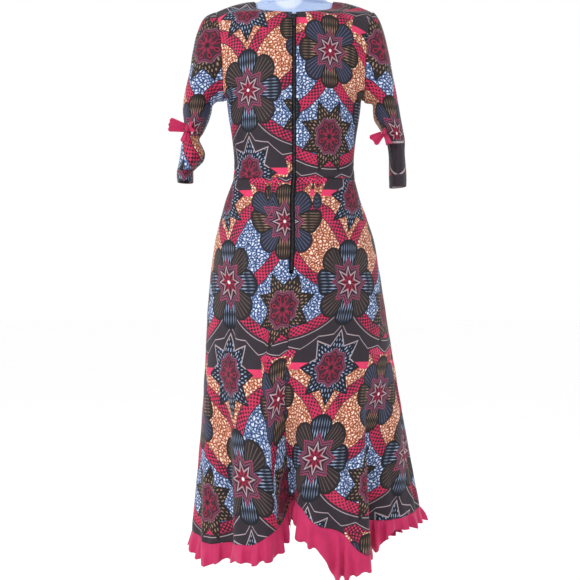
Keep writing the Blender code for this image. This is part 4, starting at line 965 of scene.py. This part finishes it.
# Sleeves: set in, caught in by a tie, closed by a cuff
sleeve = {
    "thickness": 0.0011, "head": 0.004, "rows": 120, "gap": 0.0006, "pleat": 0.0014, "pleats": 14,
    "Left": table("outerX outerZ innerX innerZ depth y", [
        (0.215, 1.443, 0.17, 1.2425, 0.064, 0), (0.2315, 1.409, 0.177, 1.2425, 0.064, 0),
        (0.2425, 1.366, 0.1845, 1.2415, 0.063, 0), (0.25, 1.315, 0.1905, 1.238, 0.061, 0.002),
        (0.2625, 1.265, 0.196, 1.231, 0.059, 0.003), (0.267, 1.225, 0.1985, 1.215, 0.057, 0.004),
        (0.265, 1.194, 0.206, 1.193, 0.054, 0.005), (0.264, 1.169, 0.219, 1.169, 0.046, 0.006),
        (0.266, 1.151, 0.229, 1.152, 0.04, 0.006), (0.271, 1.135, 0.22, 1.134, 0.047, 0.007),
        (0.274, 1.116, 0.2135, 1.117, 0.053, 0.008), (0.2765, 1.098, 0.2185, 1.099, 0.055, 0.009),
        (0.279, 1.086, 0.233, 1.085, 0.051, 0.01), (0.281, 1.077, 0.2425, 1.076, 0.047, 0.01)]),
    "cuffLeft": table("outerX outerZ innerX innerZ depth y", [
        (0.2814, 1.0762, 0.2425, 1.0752, 0.047, 0.01), (0.2818, 1.062, 0.242, 1.062, 0.048, 0.01),
        (0.28, 1.049, 0.2425, 1.048, 0.047, 0.011)]),
    "Right": table("outerX outerZ innerX innerZ depth y", [
        (0.203, 1.44, 0.169, 1.24, 0.064, 0), (0.215, 1.41, 0.1745, 1.2375, 0.064, 0),
        (0.226, 1.365, 0.181, 1.237, 0.063, 0), (0.2355, 1.315, 0.188, 1.236, 0.061, 0.002),
        (0.2445, 1.268, 0.19, 1.23, 0.059, 0.003), (0.2525, 1.225, 0.19, 1.215, 0.057, 0.004),
        (0.2575, 1.198, 0.193, 1.197, 0.055, 0.005), (0.2612, 1.175, 0.2075, 1.175, 0.05, 0.006),
        (0.2645, 1.149, 0.223, 1.149, 0.043, 0.007), (0.266, 1.126, 0.2265, 1.126, 0.046, 0.008),
        (0.268, 1.101, 0.228, 1.101, 0.049, 0.009), (0.2695, 1.079, 0.2285, 1.078, 0.051, 0.01),
        (0.27, 1.066, 0.2285, 1.064, 0.052, 0.01)]),
    "cuffRight": table("outerX outerZ innerX innerZ depth y", [
        (0.2702, 1.0655, 0.2285, 1.0635, 0.052, 0.01), (0.2705, 1.052, 0.2288, 1.0495, 0.053, 0.01),
        (0.27, 1.039, 0.2292, 1.036, 0.053, 0.011)]),
    # height of each tie
    "tie": {"Left": 1.158, "Right": 1.148}, "girth": 0.052,
    "axis": table("height Left Right", [
        (1.05, 0.262, 0.249), (1.16, 0.243, 0.236), (1.25, 0.227, 0.215), (1.37, 0.205, 0.198),
        (1.45, 0.19, 0.187)]),
    # where the upper part's star lies, and the print's place, stretch and middle height further down
    "star": {"Left": (0, 1.368), "Right": (0.013, 1.366)},
    "lowerPrint": {"Left": (0.036, -0.004, 0.8, 1.11), "Right": (0, -0.183, 0.34, 1.105)},
    "cuffPrint": {"Left": (0.153, -0.268, 0.7, 1.062), "Right": (0, -0.181, 0.34, 1.052)},
    "creases": table("x z turn length width depth side", [
        (-0.238, 1.205, 100, 0.03, 0.0045, 0.003, -1), (-0.248, 1.195, 82, 0.028, 0.004, 0.0026, -1),
        (-0.226, 1.215, 125, 0.026, 0.004, 0.0024, -1), (-0.252, 1.122, 82, 0.022, 0.004, 0.0026, -1),
        (-0.236, 1.118, 108, 0.022, 0.0042, 0.0028, -1), (-0.2, 1.275, 140, 0.03, 0.0055, 0.0026, -1),
        (-0.215, 1.3, 130, 0.04, 0.006, 0.0018, -1), (0.232, 1.195, 75, 0.028, 0.0042, 0.0028, -1),
        (0.243, 1.19, 95, 0.028, 0.004, 0.0026, -1), (0.222, 1.205, 55, 0.026, 0.0042, 0.0024, -1),
        (0.24, 1.115, 95, 0.022, 0.004, 0.0024, -1), (0.197, 1.272, 40, 0.03, 0.0055, 0.0026, -1),
        (0.212, 1.3, 52, 0.04, 0.006, 0.0018, -1)]),
}


def ringPoints(rings, turn):
    # ovals from the outermost to the innermost point, as deep as the table says
    outerX, outerZ, innerX, innerZ, depth, y = (column[:, None] for column in rings.values())
    cos, sin = np.cos(turn), np.sin(turn)
    return joined((outerX + innerX + cos * (outerX - innerX)) / 2, y - sin * depth,
                  (outerZ + innerZ + cos * (outerZ - innerZ)) / 2)


def sleeveGrid(side):
    # the armhole's edge, a short head, then the rings, all joined by smooth curves down the sleeve
    up = np.linspace(bodice["underarm"], bodice["shoulder"], 41)
    first = np.concatenate([bodicePoint("back", up[::-1], np.ones(41)),
                            bodicePoint("front", up[1:-1], np.ones(39))])
    first[:, 0] += sleeve["gap"]
    step = np.linalg.norm(np.roll(first, -1, axis=0) - first, axis=1)
    turn = np.concatenate([[0], np.cumsum(step)[:-1]]) / step.sum() * 2 * np.pi
    head = first + (sleeve["head"], 0, -sleeve["head"] * 0.1)
    coarse = np.concatenate([[first, head], ringPoints(sleeve[side], turn)])
    run = along(coarse, 0).mean(axis=1)
    return columnsAt(curveThrough, run, coarse, np.linspace(0, run[-1], sleeve["rows"])), turn


def sleeveCloth(points, side, sign, cuff=False):
    # across is the way round an upright axis inside the sleeve, up is the height; the upper part's print
    # is upside down, and the print jumps at the tie and at the cuff
    height = points[..., 2]
    axis = np.interp(height, sleeve["axis"]["height"], sleeve["axis"][side])
    across = np.arctan2(points[..., 0] * sign - axis, -points[..., 1]) * sleeve["girth"] * sign
    starX, starZ = sleeve["star"][side]
    upper = joined(starX - across, starZ - height) + printed["starOne"]
    x, y, share, middle = sleeve["cuffPrint" if cuff else "lowerPrint"][side]
    lower = joined(across * share + x, (height - middle) * share + y)
    return np.where((height[..., None] > sleeve["tie"][side]) & (not cuff), upper, lower)


def makeSleeves():
    for side, sign in (("Left", -1), ("Right", 1)):
        grid, turn = sleeveGrid(side)
        grid[..., 0] *= sign
        out = fromMiddle(grid)
        # pleats at the tie, creases, and a soft unevenness that starts below the armhole
        below = grid[..., 2].mean(axis=1)[:, None] - sleeve["tie"][side]
        pleat = sleeve["pleat"] * np.cos(turn * sleeve["pleats"]) * np.exp(-(below / 0.02) ** 2)
        uneven = sway(grid, 0.06, 0.0008, 7) * np.clip(np.arange(len(grid))[:, None] / 8, 0, 1)
        shift = uneven - creases(grid, sleeve["creases"]) - pleat
        moved = grid + gridNormals(grid, out, True) * shift[..., None]
        uv = sleeveCloth(closeRing(grid), side, sign)
        piece = settle(gridMesh("sleeve" + side, moved, out, printedCotton, uv, True),
                       sleeve["thickness"])
        min(gridArea(moved, True), 0.19)
        rings = ringPoints(sleeve["cuff" + side], np.linspace(0, 2 * np.pi, 97)[:-1])
        rings[..., 0] *= sign
        cuff = columnsAt(curveThrough, np.arange(3), rings, np.linspace(0, 2, 13))
        out, ring = fromMiddle(cuff), closeRing(cuff)
        uv = sleeveCloth(ring, side, sign, True)
        piece = settle(gridMesh("cuff" + side, cuff, out, printedCotton, uv, True),
                       sleeve["thickness"])
        size = float(along(ring, 1)[:, -1].mean())
        gridArea(cuff, True) / size * 1.01
        normals = closeRing(gridNormals(cuff, out, True))
        makeStitches("cuffStitches" + side, [(ring[k], normals[k]) for k in (1, -3)])


# Bows: a knot on each sleeve, with three fanned wings on the left and two on the right
bow = {
    "thickness": 0.0012, "wallInCad": 0.0018, "tuck": 0.00035, "knotRadii": (0.005, 0.006, 0.009),
    "ribs": 9, "knotSize": 0.99, "ripple": 0.0035, "fineRipple": 0.0009, "puff": 0.006,
    # each wing: its way, its length, its across, its width at the root and at the end, and its pleats
    "left": {"knot": (-0.2534, -0.0415, 1.174), "wings": (
        ("outer", (-0.97, -0.18, 0.18), 0.04, (0.12, 0.05, 0.99), 0.018, 0.034, 2),
        ("inner", (0.72, -0.66, 0.2), 0.015, (-0.2, 0.05, 0.97), 0.016, 0.028, 1.5),
        ("tail", (-0.16, -0.34, -0.92), 0.028, (0.96, -0.1, -0.2), 0.009, 0.02, 1.5))},
    "right": {"knot": (0.215, -0.0335, 1.166), "wings": (
        ("outer", (0.3, -0.46, -0.84), 0.03, (0.94, -0.15, 0.3), 0.008, 0.016, 1),
        ("inner", (-0.72, -0.36, -0.6), 0.034, (-0.66, 0.05, 0.75), 0.011, 0.03, 2))},
}


def makeBows():
    radii = np.array(bow["knotRadii"])
    for side in ("left", "right"):
        knot = np.array(bow[side]["knot"])
        up = np.linspace(-np.pi / 2, np.pi / 2, 25)[:, None]
        turn = np.linspace(0, 2 * np.pi, 65)[:-1]
        # a pinched ball, ribbed where the cloth is drawn tight
        rib = 1 + 0.05 * np.cos(turn * bow["ribs"]) * np.cos(up)
        ball = joined(np.cos(up) * np.cos(turn) * rib, np.cos(up) * np.sin(turn) * rib, np.sin(up))
        points = knot + ball * radii * bow["knotSize"]
        ring = closeRing(points)
        name = "bowKnot" + side.capitalize()
        settle(gridMesh(name, points, ball, plainCotton, joined(along(ring, 1), along(ring, 0)), True),
               node=f"bow_{side}_knot")
        for word, way, length, across, rootWidth, endWidth, pleats in bow[side]["wings"]:
            way, across = unit(way), unit(across)
            across = unit(across - way * np.dot(across, way))
            out = np.cross(way, across)
            out = out if out[1] < 0 else -out
            start = np.linalg.norm(radii * way) + bow["wallInCad"] / 2 - bow["tuck"]
            s, w = np.linspace(0, 1, 30)[:, None], np.linspace(-1, 1, 61)
            width = rootWidth + (endWidth - rootWidth) * s**0.8
            ripple = bow["ripple"] * np.cos(w * math.pi * pleats) * (0.1 + 0.9 * s)
            ripple = ripple + bow["fineRipple"] * np.cos(w * 17) * (1 - s) ** 2
            puff = bow["puff"] * np.sin(s * math.pi * 0.7) * (1 - w * w * 0.6)
            reach = start + length * s * (1 - 0.1 * w * w + 0.03 * np.cos(w * 9))
            points = (knot + reach[..., None] * way + (width * w / 2)[..., None] * across
                      + (ripple + puff)[..., None] * out)
            label = f"bowWing{side.capitalize()}{word.capitalize()}"
            piece = settle(gridMesh(label, points, out, plainCotton, joined(width * w / 2, reach)),
                           bow["thickness"], f"bow_{side}_{word}")
            area = gridArea(points)


# Zip: tapes and slider from the frame, teeth made here
zipper = {
    "top": 1.4385, "end": 0.835, "pitch": 0.0021, "wall": 0.0015, "set": 0.0013,
    "tooth": (0.0019, 0.0008, 0.0008), "toothShift": 0.0009, "toothLift": 0.0016,
    "firstTooth": 0.002, "lastTooth": 0.0175, "seamAllowed": 0.0004,
    "stitch": (0.0004, 0.00025, 0.0011), "stitchPitch": 0.0034, "stitchAside": 0.0098,
    "stitchLift": 0.0001, "stitchEnd": 0.004, "stitchSkip": 0.003,
}


def backSurface(x, height):
    # Y of the cloth's outside near the centre of the back
    rows = bodice["back"]
    index = np.arange(bodice["neckLow"] + 1)
    level = np.interp(height, rows["z0"][index], index)
    side, edge, middle, bend = (curveThrough(index, rows[k][index], level)
                                for k in ("x1", "y1", "y0", "bend"))
    bend = np.radians(bend)
    turn = np.arcsin(np.clip(x / side, -1, 1) * np.sin(bend))
    upper = middle + (edge - middle) * (1 - np.cos(turn)) / (1 - np.cos(bend))
    centre, width, back, _ = skirtSides(height)
    return np.where(height > skirt["waist"], upper, -back * np.sqrt(1 - ((x - centre) / width) ** 2))


def zipCentre(height):
    return np.where(height > skirt["waist"], 0, skirtPoint(seamAngle(height), height, False)[..., 0])


def makeBlocks(name, frames, half, material):
    # one small tapered block at each place, turned to its own sideways, outward and upward directions
    centres, *ways = frames
    corners = np.array([(x, y * (0.75 if y > 0 else 1), z * (0.7 if y > 0 else 1))
                        for x in (-1, 1) for y in (-1, 1) for z in (-1, 1)]) * half
    points = centres[:, None] + np.einsum("kc,ncd->nkd", corners, np.stack(ways, axis=1))
    faces = np.array([(0, 1, 3, 2), (4, 6, 7, 5), (0, 4, 5, 1),
                      (2, 3, 7, 6), (0, 2, 6, 4), (1, 5, 7, 3)])
    quads = (faces[None] + 8 * np.arange(len(centres))[:, None, None]).reshape(-1, 4)
    mesh = bpy.data.meshes.new(name)
    mesh.from_pydata(points.reshape(-1, 3).tolist(), [], quads.tolist())
    work = bmesh.new()
    work.from_mesh(mesh)
    bmesh.ops.recalc_face_normals(work, faces=work.faces)
    work.to_mesh(mesh)
    work.free()
    mesh.materials.append(material)
    piece = addObject(name, mesh)
    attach(piece, "dress")
    return piece


def zipFrame(height, x, lift):
    # a point beside the zip, lifted off the cloth, with its sideways, outward and upward directions
    at = zipCentre(height) + x
    y = backSurface(at, height)
    rise, aside = 0.002, 0.001
    above = zipCentre(height + rise)
    upward = unit(joined(above - zipCentre(height), backSurface(above + x, height + rise) - y, rise))
    sideways = unit(joined(aside, backSurface(at + aside, height) - y, 0))
    outward = unit(np.cross(sideways, upward))
    outward = np.where(outward[:, 1:2] < 0, outward, -outward)
    return joined(at, y, height) + outward * lift, sideways, outward, upward


# Topstitching: one thread block at each stitch along an edge
stitching = {"pitch": 0.003, "half": (0.0004, 0.00022, 0.001), "lift": 0.000132}


def makeStitches(name, lines):
    # each line is its points on the cloth and the cloth's outward direction there
    frames = []
    for points, outward in lines:
        run = along(points, 0)
        at = np.arange(stitching["pitch"] / 2, run[-1], stitching["pitch"])
        place, tangent, away = (columnsAt(readLine, run, rows, at)
                                for rows in (points, np.gradient(points, axis=0), outward))
        tangent, away = unit(tangent), unit(away)
        frames.append((place + away * stitching["lift"], unit(np.cross(tangent, away)), away, tangent))
    makeBlocks(name, [np.concatenate(rows) for rows in zip(*frames)], stitching["half"], darkThread)


def makeZip():
    heights = np.arange(zipper["end"] + zipper["firstTooth"], zipper["top"] - zipper["lastTooth"],
                        zipper["pitch"] / 2)
    heights = heights[np.abs(heights - skirt["waist"]) > zipper["seamAllowed"]]
    point, *ways = zipFrame(heights, 0, zipper["toothLift"] - zipper["wall"] - zipper["set"])
    side = np.where(np.arange(len(heights)) % 2 == 0, -1, 1)[:, None]
    teeth = makeBlocks("zipTeeth", (point + ways[0] * side * zipper["toothShift"], *ways),
                       zipper["tooth"], blackMetal)
    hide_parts("zip_chain")
    for node, material in (("zip_tape_left", zipTape), ("zip_tape_right", zipTape),
                           ("zip_slider", blackMetal), ("zip_pull", blackMetal)):
        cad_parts[node].data.materials[0] = material
    at = np.arange(zipper["end"] - zipper["stitchEnd"], zipper["top"] - zipper["stitchEnd"],
                   zipper["stitchPitch"])
    at = at[np.abs(at - skirt["waist"]) > zipper["stitchSkip"]]
    rows = [zipFrame(at, side * zipper["stitchAside"], zipper["stitchLift"]) for side in (-1, 1)]
    makeBlocks("zipStitches", [np.concatenate(row) for row in zip(*rows)], zipper["stitch"], zipTape)


# Dress form: a limbless torso on a pole and a base
form = {
    "sides": 96, "inset": 0.0032, "insetBelow": 1.474, "middleY": 0.002,
    "sections": table("height width back front power", [
        (0.78, 0.148, 0.108, 0.098, 2.2), (0.83, 0.165, 0.124, 0.11, 2.2),
        (0.88, 0.169, 0.13, 0.114, 2.2), (0.95, 0.162, 0.124, 0.111, 2.1),
        (1, 0.15, 0.112, 0.104, 2), (1.054, 0.138, 0.101, 0.101, 2),
        (1.1, 0.136, 0.097, 0.099, 2), (1.15, 0.141, 0.101, 0.108, 2),
        (1.2, 0.148, 0.107, 0.118, 2), (1.244, 0.152, 0.11, 0.122, 2.1),
        (1.29, 0.154, 0.112, 0.118, 2.1), (1.34, 0.155, 0.11, 0.106, 2.1),
        (1.385, 0.156, 0.105, 0.0921, 2.2), (1.405, 0.156, 0.102, 0.0817, 2.2),
        (1.42, 0.156, 0.098, 0.07, 2.2), (1.432, 0.156, 0.094, 0.0623, 2.2),
        (1.444, 0.156, 0.086, 0.0488, 2.1), (1.454, 0.1555, 0.0674, 0.0427, 1.72),
        (1.4625, 0.155, 0.063, 0.0409, 1.34), (1.4705, 0.1395, 0.0575, 0.0349, 1.24),
        (1.4758, 0.1165, 0.054, 0.044, 1.1), (1.479, 0.0915, 0.051, 0.046, 1.6),
        (1.486, 0.078, 0.051, 0.048, 1.8), (1.495, 0.068, 0.05, 0.05, 1.9),
        (1.508, 0.061, 0.05, 0.052, 2), (1.53, 0.056, 0.05, 0.054, 2),
        (1.57, 0.0545, 0.05, 0.056, 2)]),
    "lowerEnd": ((0, 0), (0.55, 0), (0.86, 0.0002), (0.96, 0.002)),
    "upperEnd": ((0.985, 0), (0.93, 0), (0.5, 0), (0, 0)),
    # radius and height along each turned outline
    "base": ((0, 0), (0.157, 0), (0.1594, 0.001), (0.16, 0.0028), (0.1596, 0.0052), (0.1575, 0.0072),
             (0.154, 0.0079), (0.148, 0.008), (0.04, 0.008), (0, 0.008)),
    "pole": ((0, 0.0083), (0.022, 0.0083), (0.0222, 0.011), (0.0205, 0.015), (0.015, 0.018),
             (0.0112, 0.024), (0.0108, 0.042), (0.0098, 0.044), (0.0095, 0.048), (0.0095, 0.4),
             (0.0095, 0.7797), (0, 0.7797)),
}


def makeForm():
    # rounded sections: a power curve of cosine and sine, as wide and deep as the table says
    knots, *sections = form["sections"].values()
    height = np.concatenate([np.linspace(0.78, 1.4, 60), np.linspace(1.403, 1.57, 90)])[:, None]
    turn = np.arange(form["sides"]) / form["sides"] * 2 * np.pi
    width, back, front, power = (np.interp(height, knots, section) for section in sections)
    inset = form["inset"] * smoothStep((form["insetBelow"] + 0.006 - height) / 0.012)
    x, y = (np.sign(v) * np.abs(v) ** (2 / power) for v in (np.cos(turn), np.sin(turn)))
    depth = np.where(y < 0, back, front) - inset
    points = joined((width - inset) * x, form["middleY"] + depth * y, height)
    # the closed, rounded ends: each ring's size, and how far it lies above the last section
    lower, upper = ([points[row] * (size, size, 1) + (0, form["middleY"] * (1 - size), rise)
                     for size, rise in form[end]] for row, end in ((0, "lowerEnd"), (-1, "upperEnd")))
    points[0, :, 2] += 0.006
    points[-1, :, 2] -= 0.002
    grid = np.concatenate([lower, points, upper])
    settle(gridMesh("formBody", grid, fromMiddle(grid), formPlastic, closed=True), node="form_torso")
    makeTurned("standBase", "form_base", form["base"], 128, steel)
    makeTurned("standPole", "form_pole", form["pole"], 64, acrylic)


def makeTurned(name, node, profile, sides, material):
    # a profile of radius and height turned round the upright axis; corners doubled to stay crisp
    profile = np.array(profile)
    pairs = [profile[0]]
    for a, b in zip(profile[:-1], profile[1:]):
        t = 0.0004 / max(np.linalg.norm(b - a), 0.0012)
        pairs += [a + (b - a) * t, b - (b - a) * t, b]
    radius, height = np.array(pairs).T[..., None]
    turn = np.arange(sides) / sides * 2 * np.pi
    grid = joined(radius * np.cos(turn), radius * np.sin(turn), height)
    away = (grid - (0, 0, height.mean())) * (1, 1, 4)
    settle(gridMesh(name, grid, away, material, closed=True), node=node)


makeForm()
print("dress form made")
makeRuffle(makeSkirt())
print("skirt and ruffle made")
makeBodice()
print("bodice made")
makeSleeves()
print("sleeves and cuffs made")
makeBows()
print("bows made")
makeZip()
print("zip made")


# Floor, light and camera
studio = {
    "floorColour": "#fdfdfd", "floorSize": 80, "floorHeight": -0.0005,
    "skyColour": "#ffffff", "skyStrength": 1,
    # name, place, size in metres and power in watts
    "lights": (("key", (-3.4, -2.6, 2.6), 1.2, 62), ("fill", (2.6, -3, 1.7), 2.2, 6),
               ("back", (0.6, 3.6, 2.8), 2.2, 20)),
    "aim": (0, 0, 0.85), "cameraAt": (-0.0096, -4, 0.79), "frameWidth": 1.392, "sensor": 36,
}


def makeStudio():
    material, put, shader = newMaterial("matteFloor", Roughness=0.9)
    place = put("TexCoord", out="Object")
    grain = put("TexNoise", {"Vector": place, "Scale": 3, "Detail": 3})
    paler = put("MapRange", grain, 0.3, 0.7, 0, 0.5)
    tint = paintOver(put, colour(studio["floorColour"]), [(paler, colour("#ffffff"))])
    finish(material, shader, tint)
    line = np.linspace(-0.5, 0.5, 9) * studio["floorSize"]
    gridMesh("studioFloor", joined(*np.meshgrid(line, line), studio["floorHeight"]),
                      (0, 0, 1), material)
    world = bpy.data.worlds.new("studioSky")
    world.use_nodes = True
    sky = world.node_tree.nodes["Background"]
    sky.inputs["Color"].default_value = colour(studio["skyColour"])
    sky.inputs["Strength"].default_value = studio["skyStrength"]
    bpy.context.scene.world = world
    for name, at, size, power in studio["lights"]:
        light = bpy.data.lights.new(name, "AREA")
        light.shape, light.size, light.energy = "DISK", size, power
        thing = addObject(name, light)
        thing.location = at
        x, y, z = np.array(studio["aim"]) - at
        thing.rotation_euler = (math.atan2(math.hypot(x, y), -z), 0, math.atan2(y, x) - math.pi / 2)
    camera = bpy.data.cameras.new("camera")
    camera.sensor_width = studio["sensor"]
    camera.lens = studio["sensor"] * -studio["cameraAt"][1] / studio["frameWidth"]
    viewer = addObject("camera", camera)
    viewer.location = studio["cameraAt"]
    viewer.rotation_euler = (math.pi / 2, 0, 0)
    bpy.context.scene.camera = viewer
    bpy.context.scene.view_settings.view_transform = "Standard"


makeStudio()
print("studio made")
